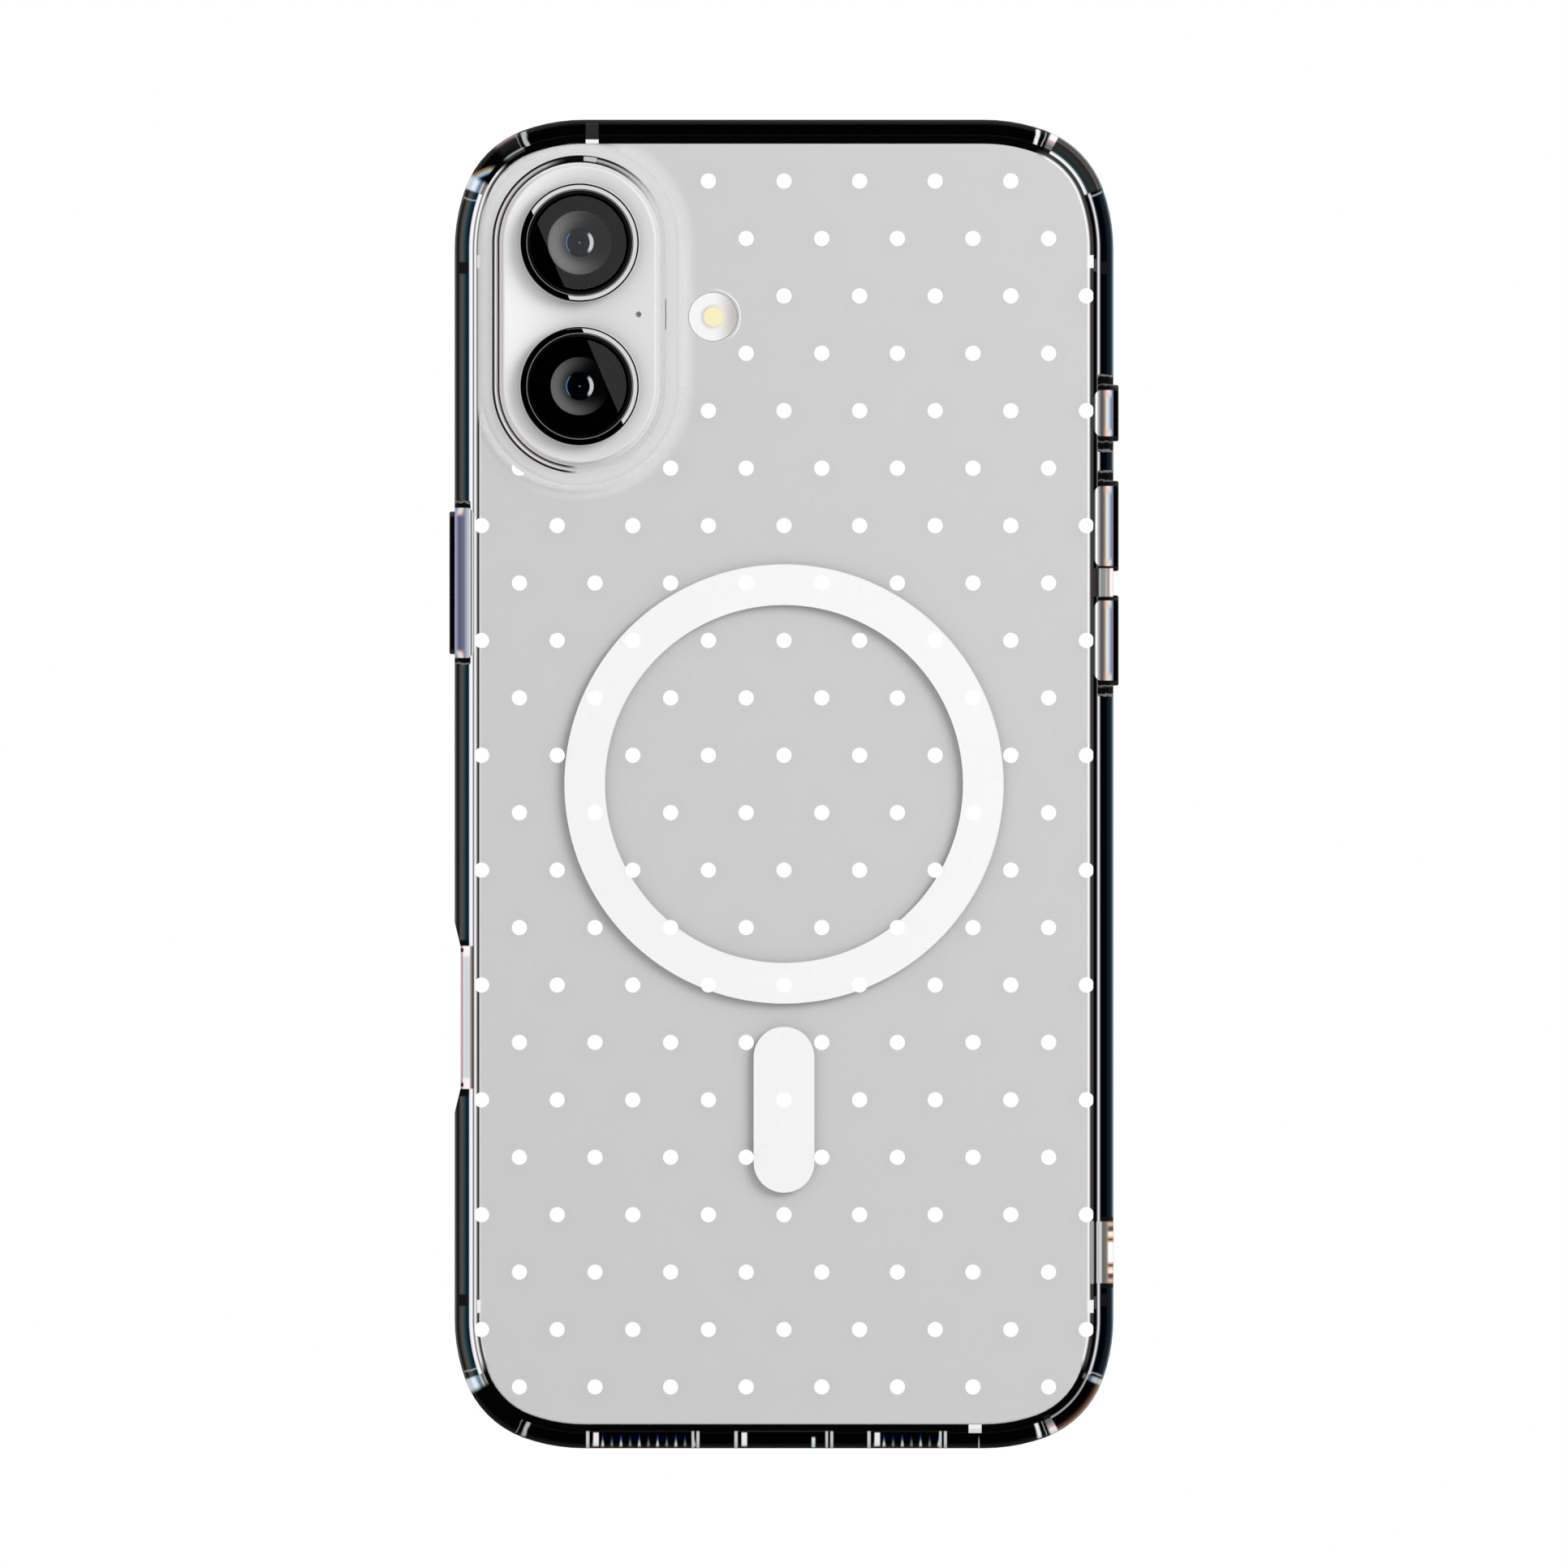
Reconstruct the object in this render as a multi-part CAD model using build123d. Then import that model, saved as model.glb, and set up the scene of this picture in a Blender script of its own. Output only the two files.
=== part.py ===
"""Smartphone in a clear, dotted, magnetic case, as an assembly of its separate pieces.

Millimetres. The phone stands upright: +Z runs up its height, +X to the right as its back is
looked at, and +Y from its back towards its screen. The origin is under the middle of the case,
on the surface that it stands on, half way through the depth of the whole.
"""

import os
from math import cos, radians, sin

from build123d import *

# ---- Phone body ----
PHONE_W = 77.8
PHONE_H = 160.9
PHONE_T = 7.8
CORNER_MID_R = 10.05  # middle arc of each corner
CORNER_END_R = 20.05  # easing arcs on both sides of it
CORNER_EASE = 20.0  # degrees that each easing arc turns
FRAME_EDGE_R = 0.9
FRAME_WALL = 2.6
BACK_GLASS_INSET = 1.0  # frame that shows beside the back glass
BACK_GLASS_T = 0.8
DISPLAY_GLASS_INSET = 0.8
DISPLAY_GLASS_T = 0.65
DISPLAY_PANEL_T = 0.9
MIDPLATE_T = 0.4
GLASS_EDGE_R = 0.25
GLUE_GAP = 0.05
CUT_MARGIN = 1.0  # how far a cutter stands past what it cuts

# ---- Case ----
CASE_WALL = 1.95
CASE_FIT = 0.05  # between the phone's sides and the bumper
PLATE_T = 1.6
PLATE_GAP = 0.1
PLATE_INSET = 0.5  # edge of the plate that shows, inside the phone's outline
PLATE_TONGUE_T = 0.7
PLATE_TONGUE_REACH = 0.6  # beyond the phone's outline, under the bumper's rim
LIP_RISE = 1.05
LIP_OVERHANG = 0.45
LIP_EDGE_R = 0.45
BUMPER_EDGE_R = 0.9
GUARD_RISE = 4.6  # camera guard's top above the phone's back

# ---- Cameras ----
LENS_PITCH = 17.8
ISLAND_W = 19.1
ISLAND_FROM_TOP = 3.75
ISLAND_FROM_SIDE = 4.0
ISLAND_RISE = 1.9
ISLAND_EDGE_R = 0.35
LENS_RING_R = 7.45
LENS_RING_RISE = 1.7
LENS_RING_EDGE_R = 0.3
LENS_NECK_R = 6.45
LENS_BORE_R = 5.7
LENS_WINDOW_R = 6.15
LENS_WINDOW_T = 0.55
LENS_WINDOW_DROP = 0.15
SNOUT_R = 5.5
BARREL_R = 4.0
BARREL_BORE_R = 4.3
PUPIL_R = 1.75
BARREL_RIM = 0.3
PUPIL_DROP = 1.2
LENS_ELEMENT_T = 1.0
LENS_ELEMENT_EDGE_R = 0.45
CAMERA_BOX = (15.4, 14.4)  # square housings, wide and ultra-wide
CAMERA_WALL = 1.2
CAMERA_CORNER_R = 1.0
CAMERA_GAP = 0.1
SENSOR_BOARD_T = 0.5
SENSOR_CHIP = (9.8, 7.4, 0.7)
SENSOR_GAP = 0.6
FOCUS_TRAVEL = 0.35
FLASH_GAP = 1.0  # between the guard and the plate's flash hole
FLASH_DROP = 0.3  # below the middle of the island
FLASH_R = 3.0
FLASH_LED_R = 1.5
FLASH_LED_T = 0.4
FLASH_BASE = 5.2
REAR_MIC_ACROSS = 7.3  # from the middle of the island
REAR_MIC_R = 0.3
REAR_MIC_DROP = 0.3
REAR_MIC_CAN = (2.2, 2.0, 0.9)

# ---- Camera guard and plate openings ----
GUARD_WALL = 1.65  # at its rim
GUARD_MOUTH_CLEARANCE = 1.15  # around the island
GUARD_THROAT_CLEARANCE = 0.4
GUARD_SLOPE = 2.6  # depth of the sloping inner wall
GUARD_FLANGE = 0.6
GUARD_FLANGE_T = 0.6
GUARD_EDGE_R = 0.5
FLASH_HOLE_R = 3.2

# ---- Magnets in the case ----
RING_OUTER_R = 27.25
RING_WIDTH = 5.05
RING_COVER_T = 0.1
MAGNET_T = 0.7
MAGNET_EDGE = 0.6  # cover that stands past the magnets on each side
MAGNET_COUNT = 18
MAGNET_GAP = 0.35
ALIGN_Z = -40.4
ALIGN_W = 7.55
ALIGN_H = 20.6

# ---- Side buttons: how far below the phone's top, and cap length ----
SIDE_BUTTON_DOWN = 55.5
SIDE_BUTTON_L = 17.7
ACTION_BUTTON_DOWN = 34.45
ACTION_BUTTON_L = 7.0
VOLUME_UP_DOWN = 48.45
VOLUME_DOWN_DOWN = 62.65
VOLUME_L = 11.2
CAP_PROUD = 0.65
CAP_H = 4.2  # across the phone's depth
CAP_CORNER_R = 1.0
CAP_EDGE_R = 0.25
CAP_CLEARANCE = 0.1
PAD_FLANGE = 0.45  # past the cap on each side
PAD_FLANGE_T = 0.5
POCKET_DEPTH = 1.0
POCKET_MARGIN = 0.8  # past the cap along its length
KEY_PROUD = 0.4
KEY_SHORTER = 2.0  # phone's own key than the cap over it
KEY_H = 2.6
KEY_CLEARANCE = 0.1
KEY_FLANGE = 0.5
KEY_FLANGE_T = 0.5
KEY_TO_PAD = 0.05
KEY_TO_SWITCH = 0.05
KEY_TRAVEL = 0.35
SWITCH_T = 0.5
SWITCH_REACH = 1.0  # of the switch strip past the key's flange at each end
SWITCH_CORNER_R = 0.5
KEY_EDGE_R = 0.15
GROOVE_CLEARANCE = 0.15

# ---- Camera control key, left side ----
CONTROL_UP = 51.5  # above the phone's bottom
CONTROL_L = 15.6
CONTROL_H = 3.0
CONTROL_DROP = 0.05
CONTROL_TRAVEL = 0.2
CONTROL_WINDOW_L = 17.8
CONTROL_WINDOW_H = 5.4
CONTROL_WINDOW_R = 2.0
SCOOP_DEPTH = 0.7
SCOOP_RAMP = 2.9

# ---- Lanyard slots, right side ----
LANYARD_UP = 22.35  # above the phone's bottom
LANYARD_PITCH = 4.0
LANYARD_SLOT = 1.6
LANYARD_H = 3.0
LANYARD_CORNER_R = 0.6
LANYARD_RELIEF = 1.0

# ---- Corner cushions ----
CUSHION_IN = 5.9  # how far the air pockets in the corners reach in from the sides
CUSHION_DOWN = 6.95
CUSHION_DEPTH = 0.9
CUSHION_RIM = 1.3

# ---- Bottom edge ----
PORT_X = 0.0
PORT_OPENING = (11.6, 6.6)
PORT_OPENING_R = 2.0
SPEAKER_OPENINGS = (  # side, past the screw, in from the phone's side
    (-1, 2.3, 14.7),
    (1, 2.2, 19.0),
)
SPEAKER_OPENING_H = 3.4
SPEAKER_PITCH = 2.27
SPEAKER_HOLE_R = 0.7
PLUG_W = 8.45
PLUG_H = 2.65
PORT_SHELL = 0.35
PORT_DEPTH = 7.0
PORT_BACK = 0.6
TONGUE_W = 6.7
TONGUE_T = 0.7
TONGUE_DROP = 0.8
SCREW_X = 7.7
SCREW_R = 0.8
SCREW_L = 4.5
SCREW_DROP = 0.1
SCREW_SOCKET = (0.4, 0.5)  # radius and depth of its five-sided recess

# ---- Antenna bands in the frame ----
BAND_W = 1.65
BAND_DEPTH = 0.9
BAND_TOP_X = -23.7
BAND_BOTTOM_X = 23.6
BAND_SIDE_IN = 15.65  # from the phone's top and bottom

# ---- Inside the phone ----
COIL_OUTER_R = 20.5
COIL_INNER_R = 10.0
COIL_T = 0.5
PHONE_RING_R = 27.0
PHONE_RING_WIDTH = 4.0
PHONE_BAR_W = 6.0
PHONE_BAR_H = 18.5
BAY_MARGIN = 0.3  # between the bay's walls and what fills it
BATTERY_MARGIN = 1.3  # from the bay's left wall
BATTERY_SPACE = 2.0  # above the loudspeaker
BATTERY_CAMERA_SPACE = 4.1
BATTERY_T = 4.1
BATTERY_GAP = 0.15
BATTERY_EDGE_R = 1.2
BOARD_MARGIN = 1.5  # from the bay's right wall, and from the battery
BOARD_STEM_W = 19.8
BOARD_STEM_SPACE = 18.0  # above the haptic motor
BOARD_HEAD_DROP = 14.9  # below the flash
BOARD_HEAD_LEFT = 5.7  # of the flash
BOARD_CAMERA_SPACE = 0.6
BOARD_T = 0.9
SHIELD_T = 1.5
SHIELD_MARGIN = 1.2
SPEAKER_MARGIN = 1.8
SPEAKER_SCREW_GAP = 0.5
SPEAKER_H = 19.5
SPEAKER_T = 4.2
CONE_W = 14.0
CONE_H = 9.0
CONE_T = 0.4
CONE_TRAVEL = 0.3
CONE_GAP = 0.3
CONE_CLEARANCE = 0.1
CONE_CORNER_R = 2.0
HAPTIC_MARGIN = 2.3
HAPTIC_RISE = 4.35  # above the bay's bottom wall
HAPTIC_W = 25.0
HAPTIC_H = 13.5
HAPTIC_T = 4.2
HAPTIC_WALL = 0.5
HAPTIC_TRAVEL = 0.8
HAPTIC_CLEARANCE = 0.2
FRONT_CAMERA_DOWN = 7.15  # below the phone's top
FRONT_CAMERA_W = 21.0
FRONT_CAMERA_H = 6.4
FRONT_CAMERA_T = 2.4
FRONT_CAMERA_CLEARANCE = 0.2
FRONT_EYE_ACROSS = 6.0
FRONT_SENSOR_R = 1.3
FRONT_LENS_R = 1.7
FRONT_EYE_ROOT = 0.1
EARPIECE_W = 14.0
EARPIECE_H = 4.2
EARPIECE_SLIT_W = 10.0
EARPIECE_SLIT = 0.5
EARPIECE_DUCT_W = 7.0
EARPIECE_DUCT_H = 1.4
MESH_T = 0.2
MESH_DROP = 0.15
MICROPHONE_W = 8.6
MICROPHONE_H = 2.4
MICROPHONE_T = 2.4

# ---- Places and levels worked out from the sizes above ----
TOP = PHONE_H / 2  # heights are taken from the phone's middle
BOTTOM = -TOP
BAY_X = PHONE_W / 2 - FRAME_WALL
BAY_Z = TOP - FRAME_WALL
ISLAND_H = ISLAND_W + LENS_PITCH
ISLAND_X = ISLAND_FROM_SIDE + ISLAND_W / 2 - PHONE_W / 2
ISLAND_Z = TOP - ISLAND_FROM_TOP - ISLAND_H / 2
LENS_X = ISLAND_X
LENS_Z = (ISLAND_Z + LENS_PITCH / 2, ISLAND_Z - LENS_PITCH / 2)  # wide and ultra-wide
GUARD_GROW = 2 * (GUARD_MOUTH_CLEARANCE + GUARD_WALL)
FLASH_X = ISLAND_X + (ISLAND_W + GUARD_GROW) / 2 + FLASH_GAP + FLASH_HOLE_R
FLASH_Z = ISLAND_Z - FLASH_DROP
REAR_MIC_X = ISLAND_X + REAR_MIC_ACROSS
REAR_MIC_Z = ISLAND_Z
RING_INNER_R = RING_OUTER_R - RING_WIDTH
CONTROL_Z = BOTTOM + CONTROL_UP
LANYARD_Z = BOTTOM + LANYARD_UP
FRONT_CAMERA_Z = TOP - FRONT_CAMERA_DOWN
BUTTONS = {  # side (-1 left, 1 right), height and cap length
    "side_button": (-1, TOP - SIDE_BUTTON_DOWN, SIDE_BUTTON_L),
    "action_button": (1, TOP - ACTION_BUTTON_DOWN, ACTION_BUTTON_L),
    "volume_up": (1, TOP - VOLUME_UP_DOWN, VOLUME_L),
    "volume_down": (1, TOP - VOLUME_DOWN_DOWN, VOLUME_L),
}
DEPTH = GUARD_RISE + PHONE_T + LIP_RISE
Y_GUARD = -DEPTH / 2
Y_BACK = Y_GUARD + GUARD_RISE  # phone's back glass
Y_FRONT = Y_BACK + PHONE_T  # phone's display glass
Y_LIP = Y_FRONT + LIP_RISE
Y_PLATE_IN = Y_BACK - PLATE_GAP
Y_PLATE = Y_PLATE_IN - PLATE_T
Y_TONGUE = Y_PLATE_IN - PLATE_TONGUE_T
Y_RIM = Y_FRONT + GLUE_GAP
Y_KEY = (Y_BACK + Y_FRONT) / 2
Y_BAY = Y_BACK + BACK_GLASS_T + GLUE_GAP
Y_PANEL = Y_FRONT - DISPLAY_GLASS_T - GLUE_GAP
Y_MID_FRONT = Y_PANEL - DISPLAY_PANEL_T - GLUE_GAP
Y_MID = Y_MID_FRONT - MIDPLATE_T
Y_ISLAND = Y_BACK - ISLAND_RISE
Y_RING = Y_ISLAND - LENS_RING_RISE
Z_MID = TOP + CASE_WALL
X_SIDE = PHONE_W / 2
X_IN = X_SIDE + CASE_FIT
X_OUT = X_SIDE + CASE_WALL


# ---- Shape helpers ----
def outline(grow):
    """The phone's outline, grown by a distance: straight sides and three-arc corners."""
    half_w = PHONE_W / 2 + grow
    half_h = PHONE_H / 2 + grow
    end_r = CORNER_END_R + grow
    mid_r = CORNER_MID_R + grow
    ease = radians(CORNER_EASE)
    step = end_r - mid_r
    reach = end_r * (1 + sin(ease) - cos(ease)) + mid_r * (cos(ease) - sin(ease))
    first = Vector(half_w - reach, half_h - end_r)
    middle = first + step * Vector(sin(ease), cos(ease))
    last = Vector(half_w - end_r, half_h - reach)
    corner = [
        CenterArc(first, end_r, 90 - CORNER_EASE, CORNER_EASE),
        CenterArc(middle, mid_r, CORNER_EASE, 90 - 2 * CORNER_EASE),
        CenterArc(last, end_r, 0, CORNER_EASE),
    ]
    right_side = Line((half_w, half_h - reach), (half_w, -half_h + reach))
    top_side = Line((half_w - reach, half_h), (-half_w + reach, half_h))
    upper = Curve() + corner + [edge.mirror(Plane.YZ) for edge in corner] + top_side
    lower = upper.mirror(Plane.XZ)
    sides = [right_side, right_side.mirror(Plane.YZ)]
    return make_face((Curve() + upper + lower + sides).edges())


def slab(sketch, y0, y1):
    """A sketch seen from the back, centred on the phone's middle, as a solid from y0 to y1."""
    plane = Plane(origin=(0, y1, Z_MID), x_dir=(1, 0, 0), z_dir=(0, -1, 0))
    return extrude(plane * sketch, amount=y1 - y0)


def side_slab(sketch, x0, x1, y, z):
    """A sketch with its first axis along Z, as a solid from x0 to x1."""
    low, high = min(x0, x1), max(x0, x1)
    plane = Plane(origin=(low, y, Z_MID + z), x_dir=(0, 0, 1), z_dir=(1, 0, 0))
    return extrude(plane * sketch, amount=high - low)


def floor_slab(sketch, z0, z1, x, y):
    """A sketch in plan, as a solid from z0 to z1 above the surface that the case stands on."""
    return extrude(Plane(origin=(x, y, z0)) * sketch, amount=z1 - z0)


def block(x0, x1, y0, y1, z0, z1):
    """A box between two corners, with its heights taken from the phone's middle."""
    size = (x1 - x0, y1 - y0, z1 - z0)
    centre = ((x0 + x1) / 2, (y0 + y1) / 2, Z_MID + (z0 + z1) / 2)
    return Pos(*centre) * Box(*size)


def pill(width, height, x=0.0, z=0.0):
    return Pos(x, z) * SlotOverall(height, width, rotation=90)


def bar(length, height):
    """A stadium for the side faces, long way first."""
    return SlotOverall(length, height)


def rounded(length, height, radius):
    return RectangleRounded(length, height, radius)


def disc(radius, x=0.0, z=0.0):
    return Pos(x, z) * Circle(radius)


def edges_at_y(part, y):
    """The edges of a solid that lie in the plane at y."""
    return part.edges().filter_by_position(Axis.Y, y - 0.001, y + 0.001)


def ring_section(outer, inner, y0, y1):
    return slab(outer, y0, y1) - slab(inner, y0, y1)


# ---- Case: plate, bumper, lip and camera guard ----
def island_pill(grow=0.0):
    """The camera island's outline, grown by a distance."""
    return pill(ISLAND_W + 2 * grow, ISLAND_H + 2 * grow, ISLAND_X, ISLAND_Z)


def guard_pill(grow=0.0):
    """The camera guard's outer outline, grown by a distance."""
    return island_pill(GUARD_MOUTH_CLEARANCE + GUARD_WALL + grow)


def magnet_seat_depth():
    return RING_COVER_T + MAGNET_T


def back_plate():
    plate = slab(outline(-PLATE_INSET), Y_PLATE, Y_PLATE_IN)
    plate += slab(outline(PLATE_TONGUE_REACH), Y_TONGUE, Y_PLATE_IN)
    plate -= slab(guard_pill(), Y_PLATE, Y_PLATE_IN)
    plate -= slab(guard_pill(GUARD_FLANGE), Y_PLATE_IN - GUARD_FLANGE_T, Y_PLATE_IN)
    plate -= slab(disc(FLASH_HOLE_R, FLASH_X, FLASH_Z), Y_PLATE, Y_PLATE_IN)
    seat = Y_PLATE_IN - magnet_seat_depth()
    plate -= ring_section(disc(RING_OUTER_R), disc(RING_INNER_R), seat, Y_PLATE_IN)
    plate -= slab(pill(ALIGN_W, ALIGN_H, 0, ALIGN_Z), seat, Y_PLATE_IN)
    return plate


def camera_guard():
    outer = slab(guard_pill(), Y_GUARD, Y_PLATE_IN)
    outer = fillet(edges_at_y(outer, Y_GUARD), GUARD_EDGE_R)
    outer += slab(guard_pill(GUARD_FLANGE), Y_PLATE_IN - GUARD_FLANGE_T, Y_PLATE_IN)
    mouth = Plane(origin=(0, Y_GUARD, Z_MID), x_dir=(1, 0, 0), z_dir=(0, -1, 0))
    wide = mouth * island_pill(GUARD_MOUTH_CLEARANCE)
    throat = island_pill(GUARD_THROAT_CLEARANCE)
    narrow = mouth.offset(-GUARD_SLOPE) * throat
    return outer - loft([wide, narrow]) - slab(throat, Y_GUARD, Y_PLATE_IN)


def button_pocket(side, z, length):
    """The hollow inside the bumper's wall that holds a pad's flange."""
    sketch = rounded(length + 2 * POCKET_MARGIN, CAP_H + 2 * POCKET_MARGIN, CAP_CORNER_R)
    return side_slab(sketch, side * X_SIDE, side * (X_IN + POCKET_DEPTH), Y_KEY, z)


def button_opening(side, z, length):
    grow = 2 * CAP_CLEARANCE
    sketch = rounded(length + grow, CAP_H + grow, CAP_CORNER_R + CAP_CLEARANCE)
    return side_slab(sketch, side * X_SIDE, side * (X_OUT + CAP_PROUD), Y_KEY, z)


def key_groove(side, z, length):
    """The way along the inner wall by which a key leaves the case at its front."""
    half = (length - KEY_SHORTER) / 2 + GROOVE_CLEARANCE
    deep = side * (X_SIDE + KEY_PROUD + GROOVE_CLEARANCE)
    low, high = sorted((side * (X_SIDE - CUT_MARGIN), deep))
    return block(low, high, Y_KEY, Y_RIM, z - half, z + half)


def control_scoop():
    """The dished outer face beside the camera control key."""
    half = CONTROL_WINDOW_L / 2
    far = X_OUT + CUT_MARGIN
    points = [
        (-far, half + SCOOP_RAMP),
        (-X_OUT, half + SCOOP_RAMP),
        (-X_OUT + SCOOP_DEPTH, half),
        (-X_OUT + SCOOP_DEPTH, -half),
        (-X_OUT, -half - SCOOP_RAMP),
        (-far, -half - SCOOP_RAMP),
    ]
    return Pos(0, CONTROL_Z) * make_face(Polyline(*points, close=True))


def control_window():
    sketch = rounded(CONTROL_WINDOW_L, CONTROL_WINDOW_H, CONTROL_WINDOW_R)
    return side_slab(sketch, -X_SIDE, -X_OUT - CUT_MARGIN, Y_KEY, CONTROL_Z)


def lanyard_cuts():
    slots = [LANYARD_Z - LANYARD_PITCH / 2, LANYARD_Z + LANYARD_PITCH / 2]
    sketch = rounded(LANYARD_SLOT, LANYARD_H, LANYARD_CORNER_R)
    cuts = [side_slab(sketch, X_SIDE, X_OUT + CUT_MARGIN, Y_KEY, z) for z in slots]
    relief = rounded(LANYARD_PITCH + 2 * LANYARD_SLOT, LANYARD_H, LANYARD_CORNER_R)
    cuts.append(side_slab(relief, X_SIDE, X_IN + LANYARD_RELIEF, Y_KEY, LANYARD_Z))
    return cuts


def cushion_cuts():
    """The four air pockets in the corners of the bumper."""
    y0 = Y_BACK + CUSHION_RIM
    y1 = Y_FRONT - CUSHION_RIM
    band = ring_section(outline(CASE_FIT + CUSHION_DEPTH), outline(0), y0, y1)
    cuts = []
    for side in (-1, 1):
        x0, x1 = sorted((side * (X_SIDE - CUSHION_IN), side * X_OUT))
        for end in (-1, 1):
            z0, z1 = sorted((end * (TOP - CUSHION_DOWN), end * (TOP + CASE_WALL)))
            cuts.append(band & block(x0, x1, y0, y1, z0, z1))
    return cuts


def speaker_openings():
    """The middle and the length of each, between a screw and the corner."""
    openings = []
    for side, past, inset in SPEAKER_OPENINGS:
        inner, outer = SCREW_X + SCREW_R + past, X_SIDE - inset
        openings.append((side * (inner + outer) / 2, outer - inner))
    return openings


def bottom_cuts(z0, z1):
    """The plug and speaker openings through the bumper's bottom wall."""
    cuts = [floor_slab(rounded(*PORT_OPENING, PORT_OPENING_R), z0, z1, PORT_X, Y_KEY)]
    for x, length in speaker_openings():
        cuts.append(floor_slab(bar(length, SPEAKER_OPENING_H), z0, z1, x, Y_KEY))
    return cuts


def bumper():
    shell = slab(outline(CASE_WALL), Y_PLATE, Y_RIM)
    shell = fillet(edges_at_y(shell, Y_PLATE), BUMPER_EDGE_R)
    shell -= slab(outline(CASE_FIT), Y_PLATE_IN, Y_RIM)
    shell -= slab(outline(-PLATE_INSET), Y_PLATE, Y_PLATE_IN)
    shell -= slab(outline(PLATE_TONGUE_REACH), Y_TONGUE, Y_PLATE_IN)
    shell -= slab(control_scoop(), Y_PLATE, Y_RIM)
    shell -= control_window()
    for side, z, length in BUTTONS.values():
        shell -= button_pocket(side, z, length)
        shell -= button_opening(side, z, length)
        shell -= key_groove(side, z, length)
    for cut in lanyard_cuts() + cushion_cuts() + bottom_cuts(-CUT_MARGIN, CASE_WALL):
        shell -= cut
    return shell


def front_lip():
    lip = slab(outline(CASE_WALL), Y_RIM, Y_LIP) - slab(outline(-LIP_OVERHANG), Y_RIM, Y_LIP)
    lip = fillet(edges_at_y(lip, Y_LIP), LIP_EDGE_R)
    return lip - slab(control_scoop(), Y_RIM, Y_LIP)


# ---- Case: magnets ----
def magnet_ring_cover():
    seat = Y_PLATE_IN - magnet_seat_depth()
    outer, inner = disc(RING_OUTER_R), disc(RING_INNER_R)
    return ring_section(outer, inner, seat, seat + RING_COVER_T)


def magnet_segments():
    seat = Y_PLATE_IN - magnet_seat_depth() + RING_COVER_T
    outer, inner = disc(RING_OUTER_R - MAGNET_EDGE), disc(RING_INNER_R + MAGNET_EDGE)
    ring = ring_section(outer, inner, seat, seat + MAGNET_T)
    for i in range(MAGNET_COUNT):
        turn = Rot(0, 0, 360 * i / MAGNET_COUNT)
        gap = turn * Pos(0, RING_OUTER_R / 2) * Rectangle(MAGNET_GAP, RING_OUTER_R)
        ring -= slab(gap, seat, seat + MAGNET_T)
    return ring


def alignment_cover():
    seat = Y_PLATE_IN - magnet_seat_depth()
    return slab(pill(ALIGN_W, ALIGN_H, 0, ALIGN_Z), seat, seat + RING_COVER_T)


def alignment_magnet():
    seat = Y_PLATE_IN - magnet_seat_depth() + RING_COVER_T
    width, height = ALIGN_W - 2 * MAGNET_EDGE, ALIGN_H - 2 * MAGNET_EDGE
    return slab(pill(width, height, 0, ALIGN_Z), seat, seat + MAGNET_T)


# ---- Case: button caps and their pads ----
def button_cap(side, z, length):
    sketch = rounded(length, CAP_H, CAP_CORNER_R)
    cap = side_slab(sketch, side * X_OUT, side * (X_OUT + CAP_PROUD), Y_KEY, z)
    outer = cap.faces().sort_by(Axis.X)[-1 if side > 0 else 0]
    return fillet(outer.edges(), CAP_EDGE_R)


def button_pad(side, z, length):
    inner = X_SIDE + KEY_PROUD + KEY_TO_PAD
    narrow = rounded(length, CAP_H, CAP_CORNER_R)
    stem = side_slab(narrow, side * inner, side * X_OUT, Y_KEY, z)
    wide = rounded(length + 2 * PAD_FLANGE, CAP_H + 2 * PAD_FLANGE, CAP_CORNER_R)
    return stem + side_slab(wide, side * inner, side * (inner + PAD_FLANGE_T), Y_KEY, z)


# ---- Phone: frame ----
def key_places():
    """Each key's side, height, length, breadth, how far it stands proud and how far it travels."""
    places = {
        name: (side, z, length - KEY_SHORTER, KEY_H, KEY_PROUD, KEY_TRAVEL)
        for name, (side, z, length) in BUTTONS.items()
    }
    control = (-1, CONTROL_Z, CONTROL_L, CONTROL_H, -CONTROL_DROP, CONTROL_TRAVEL)
    places["camera_control"] = control
    return places


def key_root(travel):
    """Where a key's inner face lies, out from the phone's middle."""
    return X_SIDE - FRAME_WALL + travel + KEY_TO_SWITCH


def key_cut(side, z, length, height, travel):
    """The stepped hole in the frame's wall for one key and its flange."""
    gap = 2 * KEY_CLEARANCE
    wall = side * (X_SIDE - FRAME_WALL)
    slot = bar(length + gap, height + gap)
    wide = bar(length + gap + 2 * KEY_FLANGE, height + gap + 2 * KEY_FLANGE)
    shoulder = side * (key_root(travel) + KEY_FLANGE_T + GLUE_GAP)
    through = side_slab(slot, side * (X_SIDE + CUT_MARGIN), wall, Y_KEY, z)
    return through + side_slab(wide, shoulder, wall, Y_KEY, z)


def band_boxes():
    """Where the antenna bands cross the frame, as boxes that reach in by their depth."""
    half = BAND_W / 2
    x0, x1 = X_SIDE - BAND_DEPTH, X_OUT
    z0, z1 = TOP - BAND_DEPTH, TOP + CASE_WALL
    boxes = [
        block(BAND_TOP_X - half, BAND_TOP_X + half, Y_BACK, Y_FRONT, z0, z1),
        block(BAND_BOTTOM_X - half, BAND_BOTTOM_X + half, Y_BACK, Y_FRONT, -z1, -z0),
    ]
    for end in (-1, 1):
        middle = end * (TOP - BAND_SIDE_IN)
        boxes.append(block(x0, x1, Y_BACK, Y_FRONT, middle - half, middle + half))
        boxes.append(block(-x1, -x0, Y_BACK, Y_FRONT, middle - half, middle + half))
    return boxes


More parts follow.
